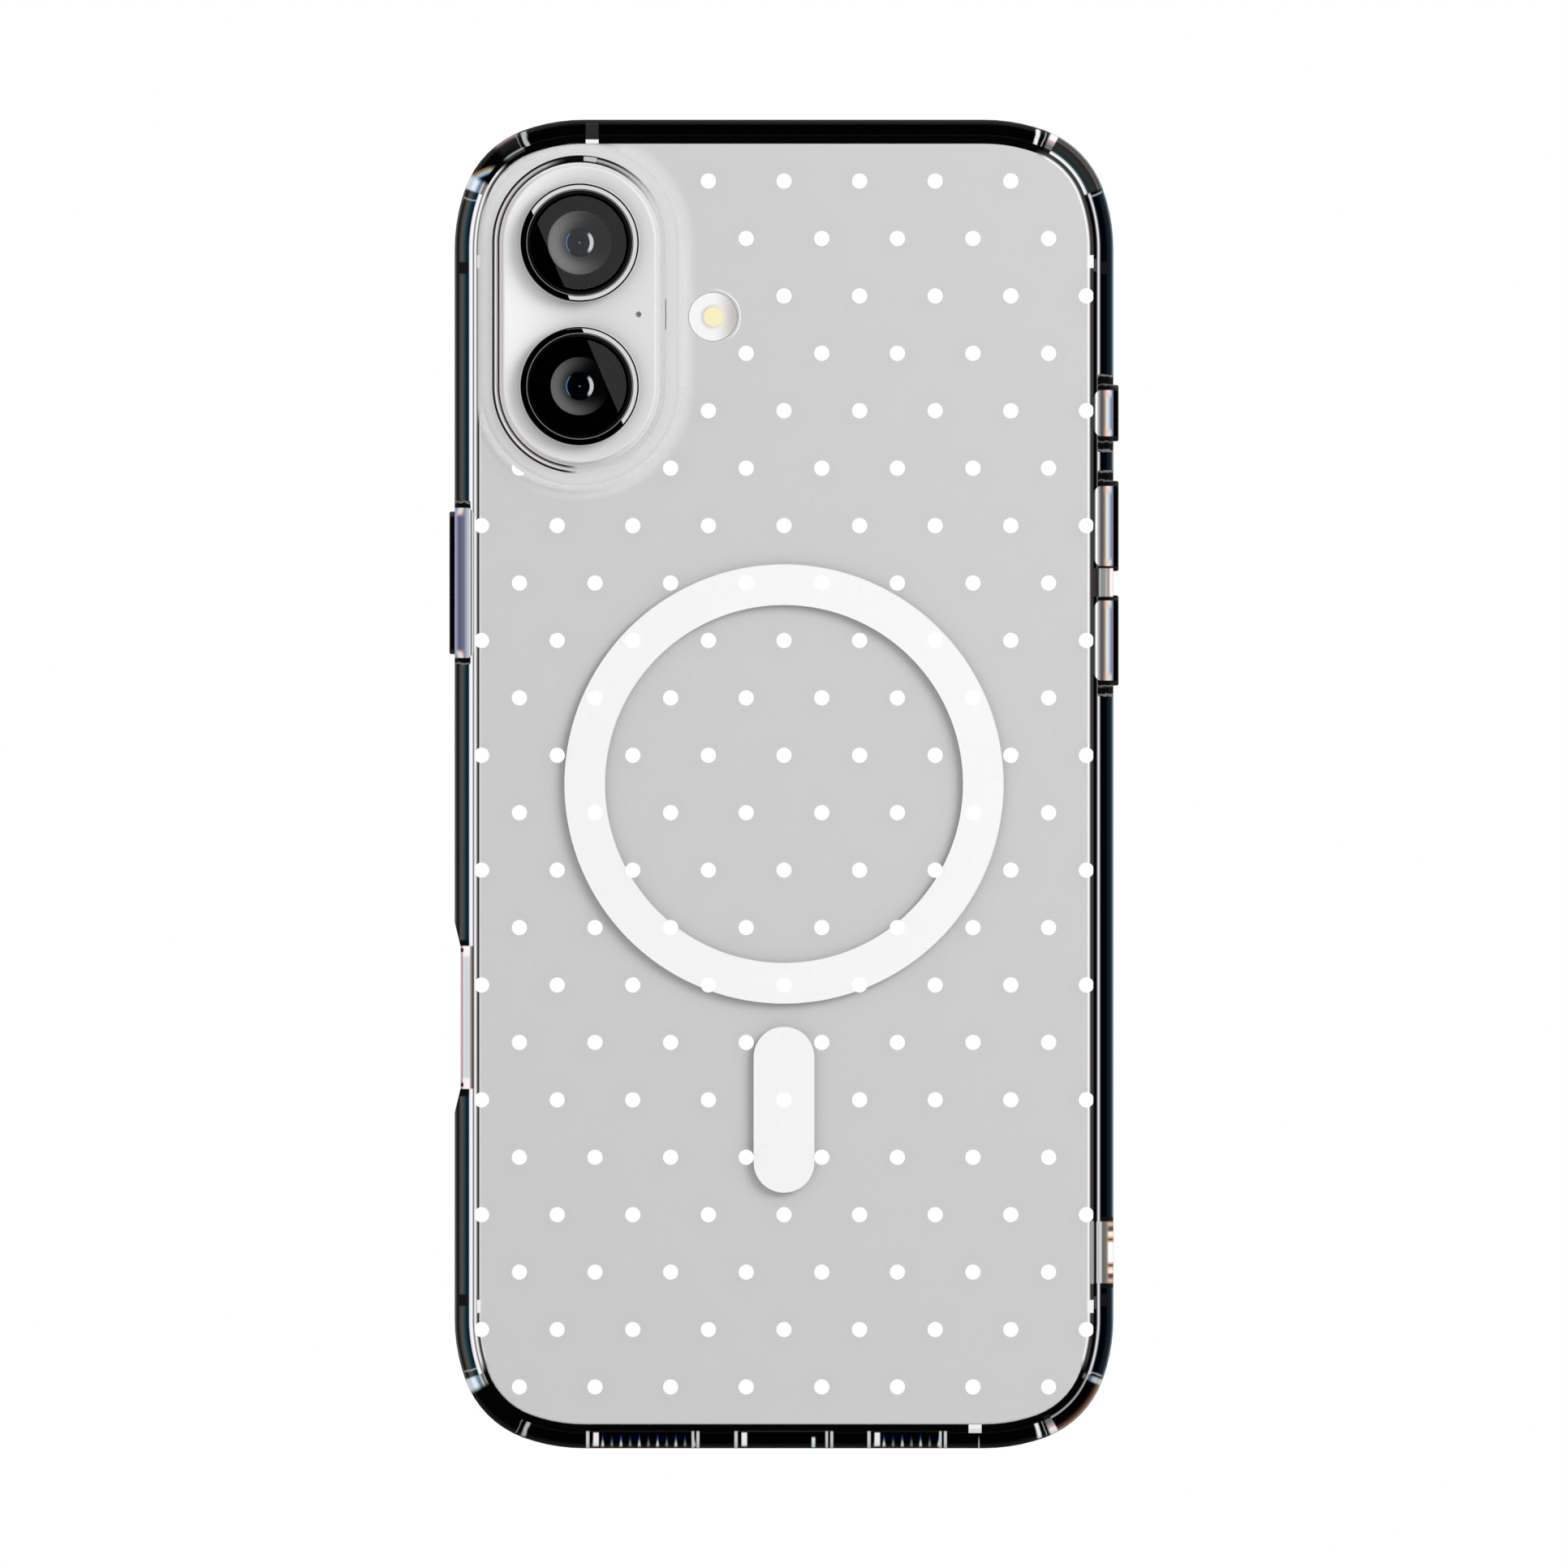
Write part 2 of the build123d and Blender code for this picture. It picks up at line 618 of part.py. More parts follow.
def frame_blank():
    """The outer form of the frame with its seats for both glasses, before it is hollowed."""
    blank = slab(outline(0), Y_BACK, Y_FRONT)
    blank = fillet(edges_at_y(blank, Y_BACK) + edges_at_y(blank, Y_FRONT), FRAME_EDGE_R)
    blank -= slab(outline(GLUE_GAP - BACK_GLASS_INSET), Y_BACK, Y_BAY)
    return blank - slab(outline(GLUE_GAP - DISPLAY_GLASS_INSET), Y_PANEL, Y_FRONT)


def front_camera_pill(clearance=0.0):
    grow = 2 * clearance
    sketch = SlotOverall(FRONT_CAMERA_W + grow, FRONT_CAMERA_H + grow)
    return Pos(0, FRONT_CAMERA_Z) * sketch


def speaker_holes(z0, z1, radius):
    """The rows of small round holes in the bottom edge."""
    holes = []
    for x, length in speaker_openings():
        count = int((length - 2 * SPEAKER_HOLE_R) / SPEAKER_PITCH) + 1
        for i in range(count):
            place = x + (i - (count - 1) / 2) * SPEAKER_PITCH
            holes.append(floor_slab(Circle(radius), z0, z1, place, Y_KEY))
    return holes


def phone_frame():
    frame = frame_blank()
    frame -= slab(outline(-FRAME_WALL), Y_BAY, Y_MID)
    frame -= slab(outline(-FRAME_WALL), Y_MID_FRONT, Y_PANEL)
    frame -= slab(front_camera_pill(FRONT_CAMERA_CLEARANCE), Y_MID, Y_MID_FRONT)
    for box in band_boxes():
        frame -= box
    for side, z, length, height, _, travel in key_places().values():
        frame -= key_cut(side, z, length, height, travel)
    z_low, z_bay = CASE_WALL - CUT_MARGIN, CASE_WALL + FRAME_WALL
    for hole in speaker_holes(z_low, z_bay, SPEAKER_HOLE_R):
        frame -= hole
    frame -= floor_slab(port_outline(GLUE_GAP), z_low, z_bay, PORT_X, Y_KEY)
    for x in (-SCREW_X, SCREW_X):
        frame -= floor_slab(Circle(SCREW_R + GLUE_GAP), z_low, z_bay, x, Y_KEY)
    return frame - earpiece_duct()


def antenna_bands():
    blank = frame_blank()
    return Part() + [blank & box for box in band_boxes()]


# ---- Phone: glass and display ----
def back_glass():
    glass = slab(outline(-BACK_GLASS_INSET), Y_BACK, Y_BACK + BACK_GLASS_T)
    glass = fillet(edges_at_y(glass, Y_BACK), GLASS_EDGE_R)
    island = slab(island_pill(), Y_ISLAND, Y_BACK + BACK_GLASS_T)
    glass += fillet(edges_at_y(island, Y_ISLAND), ISLAND_EDGE_R)
    for z in LENS_Z:
        hole = disc(LENS_NECK_R + GLUE_GAP, LENS_X, z)
        glass -= slab(hole, Y_ISLAND, Y_BACK + BACK_GLASS_T)
    glass -= slab(disc(FLASH_R + GLUE_GAP, FLASH_X, FLASH_Z), Y_BACK, Y_BACK + BACK_GLASS_T)
    mic = disc(REAR_MIC_R + GLUE_GAP, REAR_MIC_X, REAR_MIC_Z)
    return glass - slab(mic, Y_ISLAND, Y_BACK + BACK_GLASS_T)


def earpiece_slit(clearance=0.0):
    """The notch in the display glass's top edge."""
    edge = TOP - DISPLAY_GLASS_INSET
    width, height = EARPIECE_SLIT_W - 2 * clearance, 2 * (EARPIECE_SLIT - clearance)
    return Pos(0, edge) * SlotOverall(width, height)


def earpiece_mesh():
    sketch = earpiece_slit(GLUE_GAP) & outline(-DISPLAY_GLASS_INSET)
    return slab(sketch, Y_PANEL, Y_FRONT - MESH_DROP)


def earpiece_duct():
    """The way for sound through the frame's ledge, from the earpiece up to the slit."""
    slit = TOP - DISPLAY_GLASS_INSET - GLUE_GAP
    half = EARPIECE_DUCT_W / 2
    return block(-half, half, Y_MID - EARPIECE_DUCT_H, Y_PANEL, BAY_Z - CUT_MARGIN, slit)


def display_glass():
    glass = slab(outline(-DISPLAY_GLASS_INSET), Y_FRONT - DISPLAY_GLASS_T, Y_FRONT)
    glass = fillet(edges_at_y(glass, Y_FRONT), GLASS_EDGE_R)
    return glass - slab(earpiece_slit(), Y_FRONT - DISPLAY_GLASS_T, Y_FRONT)


def display_panel():
    top = Y_FRONT - DISPLAY_GLASS_T
    panel = slab(outline(-FRAME_WALL - GLUE_GAP), top - DISPLAY_PANEL_T, top)
    return panel - slab(front_camera_pill(), top - DISPLAY_PANEL_T, top)


# ---- Phone: cameras ----
def lens_ring(z):
    low = Y_BACK + BACK_GLASS_T
    ring = slab(disc(LENS_RING_R, LENS_X, z), Y_RING, Y_ISLAND)
    ring = fillet(edges_at_y(ring, Y_RING), LENS_RING_EDGE_R)
    ring += slab(disc(LENS_NECK_R, LENS_X, z), Y_ISLAND, low)
    seat = Y_RING + LENS_WINDOW_DROP + LENS_WINDOW_T
    ring -= slab(disc(LENS_WINDOW_R, LENS_X, z), Y_RING, seat)
    return ring - slab(disc(LENS_BORE_R, LENS_X, z), Y_RING, low)


def lens_window(z):
    top = Y_RING + LENS_WINDOW_DROP
    window = disc(LENS_WINDOW_R - GLUE_GAP, LENS_X, z)
    return slab(window, top, top + LENS_WINDOW_T)


def camera_levels():
    """The snout's end, the housing's back and front, and the barrel's two ends."""
    snout = Y_RING + LENS_WINDOW_DROP + LENS_WINDOW_T + CAMERA_GAP
    barrel = snout + FOCUS_TRAVEL + CAMERA_GAP
    end = Y_MID - SENSOR_BOARD_T - SENSOR_CHIP[2] - SENSOR_GAP
    return snout, Y_BAY + CAMERA_GAP, Y_MID, barrel, end


def square(half, z, y0, y1):
    """A square block on a camera's axis."""
    return block(LENS_X - half, LENS_X + half, y0, y1, z - half, z + half)


def camera_housing(z, size):
    snout, back, front, _, barrel_end = camera_levels()
    body = square(size / 2, z, back, front)
    body = fillet(body.edges().filter_by(Axis.Y), CAMERA_CORNER_R)
    body += slab(disc(SNOUT_R, LENS_X, z), snout, back)
    ceiling = barrel_end + CAMERA_GAP
    body -= slab(disc(BARREL_BORE_R, LENS_X, z), snout, ceiling)
    return body - square(size / 2 - CAMERA_WALL, z, ceiling, front)


def lens_barrel(z):
    _, _, _, top, end = camera_levels()
    barrel = slab(disc(BARREL_R, LENS_X, z), top, end)
    plane = Plane(origin=(0, top, Z_MID), x_dir=(1, 0, 0), z_dir=(0, -1, 0))
    mouth = plane * disc(BARREL_R - BARREL_RIM, LENS_X, z)
    throat = plane.offset(-PUPIL_DROP) * disc(PUPIL_R, LENS_X, z)
    return barrel - loft([mouth, throat]) - slab(disc(PUPIL_R, LENS_X, z), top, end)


def lens_glass(z):
    """The front and rear elements in the barrel."""
    _, _, _, top, end = camera_levels()
    pupil = disc(PUPIL_R, LENS_X, z)
    front = slab(pupil, top + PUPIL_DROP, top + PUPIL_DROP + LENS_ELEMENT_T)
    front = fillet(edges_at_y(front, top + PUPIL_DROP), LENS_ELEMENT_EDGE_R)
    rear = end - BARREL_RIM
    return front + slab(pupil, rear - LENS_ELEMENT_T, rear)


def camera_sensor(z, size):
    front = Y_MID
    back = front - SENSOR_BOARD_T
    board = square(size / 2 - CAMERA_WALL - GLUE_GAP, z, back, front)
    width, height, thickness = SENSOR_CHIP
    chip = Pos(LENS_X, z) * Rectangle(width, height)
    return board + slab(chip, back - thickness, back)


def flash_lens():
    window = disc(FLASH_R, FLASH_X, FLASH_Z)
    return slab(window, Y_BACK, Y_BACK + BACK_GLASS_T)


def flash_led():
    """The light and its stand on the logic board."""
    top = Y_BACK + BACK_GLASS_T
    emitter = slab(disc(FLASH_LED_R, FLASH_X, FLASH_Z), top, top + FLASH_LED_T)
    _, board, _ = board_levels()
    stand = Pos(FLASH_X, FLASH_Z) * Rectangle(FLASH_BASE, FLASH_BASE)
    return emitter + slab(stand, top + FLASH_LED_T, board)


def rear_microphone():
    low = Y_BACK + BACK_GLASS_T
    mesh = slab(disc(REAR_MIC_R, REAR_MIC_X, REAR_MIC_Z), Y_ISLAND + REAR_MIC_DROP, low)
    width, height, thickness = REAR_MIC_CAN
    can = Pos(REAR_MIC_X, REAR_MIC_Z) * Rectangle(width, height)
    return mesh + slab(can, low, low + thickness)


# ---- Phone: what lies in the bay between the glass and the mid-plate ----
def board_levels():
    """The shields' back, the board's back and the mid-plate."""
    return Y_MID - BOARD_T - SHIELD_T, Y_MID - BOARD_T, Y_MID


def area(box, y0, y1):
    """What a left, right, bottom and top bound, kept clear of the bay's walls."""
    bay = slab(outline(-FRAME_WALL - BAY_MARGIN), y0, y1)
    return block(box[0], box[1], y0, y1, box[2], box[3]) & bay


def speaker_box():
    left, low = SPEAKER_MARGIN - BAY_X, MESH_T + GLUE_GAP - BAY_Z
    right = -SCREW_X - SCREW_R - SPEAKER_SCREW_GAP
    return left, right, low, low + SPEAKER_H


def haptic_box():
    right, low = BAY_X - HAPTIC_MARGIN, HAPTIC_RISE - BAY_Z
    return right - HAPTIC_W, right, low, low + HAPTIC_H


def stem_box():
    """The long arm of the logic board, beside the battery."""
    right = BAY_X - BOARD_MARGIN
    return right - BOARD_STEM_W, right, haptic_box()[3] + BOARD_STEM_SPACE, TOP


def head_box():
    """The wide end of the logic board, under the flash."""
    left, right = FLASH_X - BOARD_HEAD_LEFT, stem_box()[1]
    high = FRONT_CAMERA_Z - FRONT_CAMERA_H / 2 - BOARD_CAMERA_SPACE
    return left, right, FLASH_Z - BOARD_HEAD_DROP, high


def battery_box():
    left, right = BATTERY_MARGIN - BAY_X, stem_box()[0] - BOARD_MARGIN
    high = LENS_Z[1] - CAMERA_BOX[1] / 2 - BATTERY_CAMERA_SPACE
    return left, right, speaker_box()[3] + BATTERY_SPACE, high


def logic_board():
    _, back, front = board_levels()
    return area(stem_box(), back, front) + area(head_box(), back, front)


def board_shields():
    """Three cans: two along the stem, and one on the head beside the flash."""
    top, back, _ = board_levels()
    m = SHIELD_MARGIN
    left, right, low, _ = stem_box()
    _, _, head_low, head_high = head_box()
    left, right, low, high = left + m, right - m, low + m, head_low - m
    middle = (low + high) / 2
    beside_flash = FLASH_X + FLASH_BASE / 2 + m
    cans = [
        (left, right, low, middle - m / 2),
        (left, right, middle + m / 2, high),
        (beside_flash, right, head_low + m, head_high - m),
    ]
    return Part() + [area(can, top, back) for can in cans]


def battery():
    y1 = Y_MID - BATTERY_GAP
    pack = area(battery_box(), y1 - BATTERY_T, y1)
    return fillet(pack.edges().filter_by(Axis.Z), BATTERY_EDGE_R)


def charging_coil():
    return ring_section(disc(COIL_OUTER_R), disc(COIL_INNER_R), Y_BAY, Y_BAY + COIL_T)


def phone_magnets():
    inner, outer = PHONE_RING_R - PHONE_RING_WIDTH, PHONE_RING_R
    ring = ring_section(disc(outer), disc(inner), Y_BAY, Y_BAY + COIL_T)
    for i in range(MAGNET_COUNT):
        turn = Rot(0, 0, 360 * (i + 0.5) / MAGNET_COUNT)
        gap = turn * Pos(0, outer / 2) * Rectangle(MAGNET_GAP, outer)
        ring -= slab(gap, Y_BAY, Y_BAY + COIL_T)
    return ring + slab(pill(PHONE_BAR_W, PHONE_BAR_H, 0, ALIGN_Z), Y_BAY, Y_BAY + COIL_T)


def cone_place():
    left, right, low, high = speaker_box()
    return (left + right) / 2, (low + high) / 2


def loudspeaker():
    y1 = Y_MID
    body = area(speaker_box(), y1 - SPEAKER_T, y1)
    x, z = cone_place()
    width, height = CONE_W + 2 * CONE_GAP, CONE_H + 2 * CONE_GAP
    depth = CONE_T + 2 * (CONE_TRAVEL + CONE_CLEARANCE)
    well = Pos(x, z) * rounded(width, height, CONE_CORNER_R + CONE_GAP)
    return body - slab(well, y1 - SPEAKER_T, y1 - SPEAKER_T + depth)


def loudspeaker_cone():
    x, z = cone_place()
    back = Y_MID - SPEAKER_T + CONE_TRAVEL + CONE_CLEARANCE
    return slab(Pos(x, z) * rounded(CONE_W, CONE_H, CONE_CORNER_R), back, back + CONE_T)


def haptic_housing():
    y0, y1 = Y_MID - HAPTIC_T + HAPTIC_WALL, Y_MID
    left, right, low, high = haptic_box()
    w = HAPTIC_WALL
    tray = area(haptic_box(), y0, y1)
    return tray - block(left + w, right - w, y0, y1 - w, low + w, high - w)


def haptic_cover():
    y0 = Y_MID - HAPTIC_T
    return area(haptic_box(), y0, y0 + HAPTIC_WALL)


def haptic_mass():
    left, right, low, high = haptic_box()
    c = HAPTIC_WALL + HAPTIC_CLEARANCE
    side = HAPTIC_WALL + HAPTIC_TRAVEL + HAPTIC_CLEARANCE
    y0, y1 = Y_MID - HAPTIC_T + c, Y_MID - c
    return block(left + side, right - side, y0, y1, low + c, high - c)


def port_outline(grow=0.0):
    extra = 2 * (PORT_SHELL + grow)
    return SlotOverall(PLUG_W + extra, PLUG_H + extra)


def charging_port():
    z0, z1 = CASE_WALL, CASE_WALL + PORT_DEPTH
    shell = floor_slab(port_outline(), z0, z1, PORT_X, Y_KEY)
    shell -= floor_slab(SlotOverall(PLUG_W, PLUG_H), z0, z1 - PORT_BACK, PORT_X, Y_KEY)
    tongue = floor_slab(Rectangle(TONGUE_W, TONGUE_T), z0 + TONGUE_DROP, z1, PORT_X, Y_KEY)
    return shell + tongue


def earpiece():
    """The small speaker behind the front camera, at the top of the bay."""
    top = BAY_Z - GLUE_GAP
    half = EARPIECE_W / 2
    y1 = Y_MID - FRONT_CAMERA_T - BAY_MARGIN
    return block(-half, half, Y_BAY + GLUE_GAP, y1, top - EARPIECE_H, top)


def front_camera():
    """The module in the pill-shaped hole of the display panel, with its two windows."""
    pill_face = front_camera_pill(-FRONT_CAMERA_CLEARANCE)
    body = slab(pill_face, Y_MID - FRONT_CAMERA_T, Y_MID_FRONT)
    root = Y_MID_FRONT - FRONT_EYE_ROOT
    for x, radius in ((-FRONT_EYE_ACROSS, FRONT_SENSOR_R), (FRONT_EYE_ACROSS, FRONT_LENS_R)):
        eye = disc(radius, x, FRONT_CAMERA_Z)
        body += slab(eye, root, Y_FRONT - DISPLAY_GLASS_T - GLUE_GAP)
    return body


def speaker_mesh():
    """Woven strips behind the holes in the bottom edge."""
    wall = CASE_WALL + FRAME_WALL
    strips = [
        floor_slab(bar(length, SPEAKER_OPENING_H), wall, wall + MESH_T, x, Y_KEY)
        for x, length in speaker_openings()
    ]
    return Part() + strips


def bottom_microphone():
    x, _ = speaker_openings()[1]
    low = MESH_T + GLUE_GAP - BAY_Z
    half_w, half_t = MICROPHONE_W / 2, MICROPHONE_T / 2
    return block(x - half_w, x + half_w, Y_KEY - half_t, Y_KEY + half_t, low, low + MICROPHONE_H)


def bottom_screws():
    z0 = CASE_WALL + SCREW_DROP
    radius, depth = SCREW_SOCKET
    screws = []
    for x in (-SCREW_X, SCREW_X):
        screw = floor_slab(Circle(SCREW_R), z0, z0 + SCREW_L, x, Y_KEY)
        screws.append(screw - floor_slab(RegularPolygon(radius, 5), z0, z0 + depth, x, Y_KEY))
    return Part() + screws


def button_switches():
    """The dome switches behind the keys, on their strips against the frame's wall."""
    strips = []
    wall = X_SIDE - FRAME_WALL
    for side, z, length, height, _, _ in key_places().values():
        strip = rounded(length + 2 * (KEY_FLANGE + SWITCH_REACH), height, SWITCH_CORNER_R)
        strips.append(side_slab(strip, side * wall, side * (wall - SWITCH_T), Y_KEY, z))
    return Part() + strips


# ---- Phone: keys ----
def key(side, z, length, height, proud, travel):
    root = key_root(travel)
    face = X_SIDE + proud
    body = side_slab(bar(length, height), side * root, side * face, Y_KEY, z)
    outer = body.faces().sort_by(Axis.X)[-1 if side > 0 else 0]
    body = fillet(outer.edges(), KEY_EDGE_R)
    wide = bar(length + 2 * KEY_FLANGE, height + 2 * KEY_FLANGE)
    return body + side_slab(wide, side * root, side * (root + KEY_FLANGE_T), Y_KEY, z)


NODES = {
    "back_plate": back_plate,
    "bumper": bumper,
    "front_lip": front_lip,
    "camera_guard": camera_guard,
    "magnet_ring_cover": magnet_ring_cover,
    "magnet_segments": magnet_segments,
    "alignment_cover": alignment_cover,
    "alignment_magnet": alignment_magnet,
    "phone_frame": phone_frame,
    "antenna_bands": antenna_bands,
    "back_glass": back_glass,
    "display_glass": display_glass,
    "display_panel": display_panel,
    "flash_lens": flash_lens,
    "flash_led": flash_led,
    "rear_microphone": rear_microphone,
    "logic_board": logic_board,
    "board_shields": board_shields,
    "battery": battery,
    "charging_coil": charging_coil,
    "phone_magnets": phone_magnets,
    "loudspeaker": loudspeaker,
    "loudspeaker_cone": loudspeaker_cone,
    "haptic_housing": haptic_housing,
    "haptic_cover": haptic_cover,
    "haptic_mass": haptic_mass,
    "charging_port": charging_port,
    "speaker_mesh": speaker_mesh,
    "bottom_microphone": bottom_microphone,
    "earpiece": earpiece,
    "earpiece_mesh": earpiece_mesh,
    "front_camera": front_camera,
    "bottom_screws": bottom_screws,
    "button_switches": button_switches,
}


def all_nodes():
    """Every node's name and shape."""
    for name, make in NODES.items():
        yield name, make()
    for name, (side, z, length) in BUTTONS.items():
        yield f"{name}_cap", button_cap(side, z, length)
        yield f"{name}_pad", button_pad(side, z, length)
    for name, place in key_places().items():
        yield f"{name}_key", key(*place)
    for name, z, size in zip(("wide", "ultrawide"), LENS_Z, CAMERA_BOX):
        yield f"{name}_lens_ring", lens_ring(z)
        yield f"{name}_lens_window", lens_window(z)
        yield f"{name}_camera_housing", camera_housing(z, size)
        yield f"{name}_lens_barrel", lens_barrel(z)
        yield f"{name}_lens_glass", lens_glass(z)
        yield f"{name}_sensor", camera_sensor(z, size)


def main():
    os.makedirs("parts", exist_ok=True)
    for name, shape in all_nodes():
        export_step(shape, f"parts/{name}.step")


main()
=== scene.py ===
from math import cos, pi, radians, sin, tan

import bmesh
import bpy
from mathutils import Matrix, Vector


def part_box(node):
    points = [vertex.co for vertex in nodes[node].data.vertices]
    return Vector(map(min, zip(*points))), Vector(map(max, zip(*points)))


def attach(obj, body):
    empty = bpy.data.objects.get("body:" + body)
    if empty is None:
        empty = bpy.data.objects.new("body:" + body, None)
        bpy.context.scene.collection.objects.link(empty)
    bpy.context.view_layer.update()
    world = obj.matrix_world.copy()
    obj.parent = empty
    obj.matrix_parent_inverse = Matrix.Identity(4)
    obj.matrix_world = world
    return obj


MM = 0.001

# ---- Dot pattern printed on the plate ----
DOT_R = 0.945 * MM
DOT_PITCH = 9.377 * MM
DOT_ROW = 7.123 * MM
DOT_ROWS = 22
DOT_STEPS = 4  # dots on each side of the middle one
DOT_T = 0.02 * MM
DOT_ROOT = 0.01 * MM  # depth to which a dot's side reaches into the plate
DOT_SEGMENTS = 32
DOT_MARGIN = 1.1 * MM  # from a dot's centre to the plate's side
DOT_CUT = 1.15 * MM  # from the plate's side, where dots are cut off
TOP_ROW_REACH = 37 * MM
FLASH_CLEAR = 5 * MM  # around the flash, free of dots

# ---- Corners of the phone's outline, as in the CAD model ----
CORNER_END_R = 20.05 * MM
CORNER_MID_R = 10.05 * MM
CORNER_EASE = radians(20)

# ---- What shows through the clear edge ----
WALL_X = 30 * MM  # beyond it, on both sides, only the side walls lie
LANYARD_UP = 22.35 * MM  # above the phone's bottom
LANYARD_REACH = 3.9 * MM  # of the clear wall, from the middle of the slots
BAND = (64.0 * MM, 65.6 * MM)  # antenna bands of the sides, from the middle of the height
BAND_IN_WALL = (63.3 * MM, 64.75 * MM)  # the same, as the wall shows them
BAND_BEHIND = (63.6 * MM, 65.1 * MM)
TOP_BAND = (-24.6 * MM, -23.0 * MM)
BOTTOM_BAND = (22.9 * MM, 24.5 * MM)
BOTTOM_LINE = (24.1 * MM, 24.25 * MM)
POCKET = (radians(20), radians(66))  # air pockets, by the angle around a corner
PLUG_OPENING = (-5.8 * MM, 5.8 * MM)
LEFT_SPEAKER_END = -10.8 * MM
RIGHT_SPEAKER_END = 10.7 * MM
RAY_PITCH = 1.135 * MM  # light rays of the sound holes
CONTROL_GROW = 0.55 * MM  # clear wall beyond each end of the camera control
BARE_RIM = (0.6 * MM, 0.95 * MM)  # below the bumper's back, where its lines end

# ---- Radii of the painted light and shade, and of other marks, on the camera guard, the lenses and the flash ----
GUARD_HALO = (14.6 * MM, 13.0 * MM)
MOUTH_LINES = (9.93 * MM, 10.83 * MM)
MOUTH_GLINT = (9.98 * MM, 10.5 * MM)
MOUTH_HAIR = (10.63 * MM, 10.73 * MM)
MOUTH_HAIR_REACH = 1.9 * MM  # above and below the guard's middle
ISLAND_EDGE = (10.6 * MM, 9.9 * MM)
RING_LINE = (6.52 * MM, 6.6 * MM)
RING_POLISH = (6.68 * MM, 7.16 * MM)
RING_EDGE = (7.33 * MM, 7.38 * MM)
WINDOW_BORDER = (5.76 * MM, 5.82 * MM)
CONE_START = (1.69 * MM, 1.75 * MM)
CONE_END = 3.6 * MM
WIDE_CONE_MORE = 0.36 * MM
FLASH_HOLE_DARK = (3.19 * MM, 3.25 * MM)
FLASH_HOLE_LIGHT = (3.3 * MM, 3.42 * MM)
WEAVE_PITCH = 0.16 * MM

# ---- Studio ----
LAMP_POWER = 3.8
LAMP_SIZE = 0.45
FILL = 0.74  # strength of the world's light
CARD_Y = -60 * MM  # where the lenses' white card hangs
CARD_GLOW = 0.68
VIEW_SIZE = 0.1945  # width of the picture at the part

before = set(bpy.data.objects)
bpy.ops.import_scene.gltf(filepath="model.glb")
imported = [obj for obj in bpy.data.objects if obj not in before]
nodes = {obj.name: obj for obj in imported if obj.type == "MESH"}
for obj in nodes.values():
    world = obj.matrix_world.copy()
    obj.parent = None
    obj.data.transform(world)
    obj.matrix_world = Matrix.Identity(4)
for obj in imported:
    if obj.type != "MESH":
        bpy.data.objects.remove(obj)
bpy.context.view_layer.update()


def middle(node):
    """Where the middle of a node's box lies, across and up."""
    low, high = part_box(node)
    return (low.x + high.x) / 2, (low.z + high.z) / 2


BUMPER_LOW, BUMPER_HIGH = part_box("bumper")
PHONE_LOW, PHONE_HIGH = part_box("phone_frame")
PLATE_LOW, PLATE_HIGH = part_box("back_plate")
GUARD_LOW, GUARD_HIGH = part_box("camera_guard")
GUARD_X, GUARD_Z = middle("camera_guard")
GUARD_R = (GUARD_HIGH.x - GUARD_LOW.x) / 2
GUARD_STRAIGHT = (GUARD_HIGH.z - GUARD_LOW.z) / 2 - GUARD_R
RING_TOP_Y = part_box("wide_lens_ring")[0].y
LANYARD_Z = PHONE_LOW.z + LANYARD_UP
Z_MID = (BUMPER_LOW.z + BUMPER_HIGH.z) / 2


def outline_of(node):
    """Half its width, half its height, and how far it stands past the phone's outline."""
    low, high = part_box(node)
    half_w, half_h = (high.x - low.x) / 2, (high.z - low.z) / 2
    return half_w, half_h, half_w - (PHONE_HIGH.x - PHONE_LOW.x) / 2


BUMPER_OUTLINE = outline_of("bumper")
GLASS_OUTLINE = outline_of("back_glass")


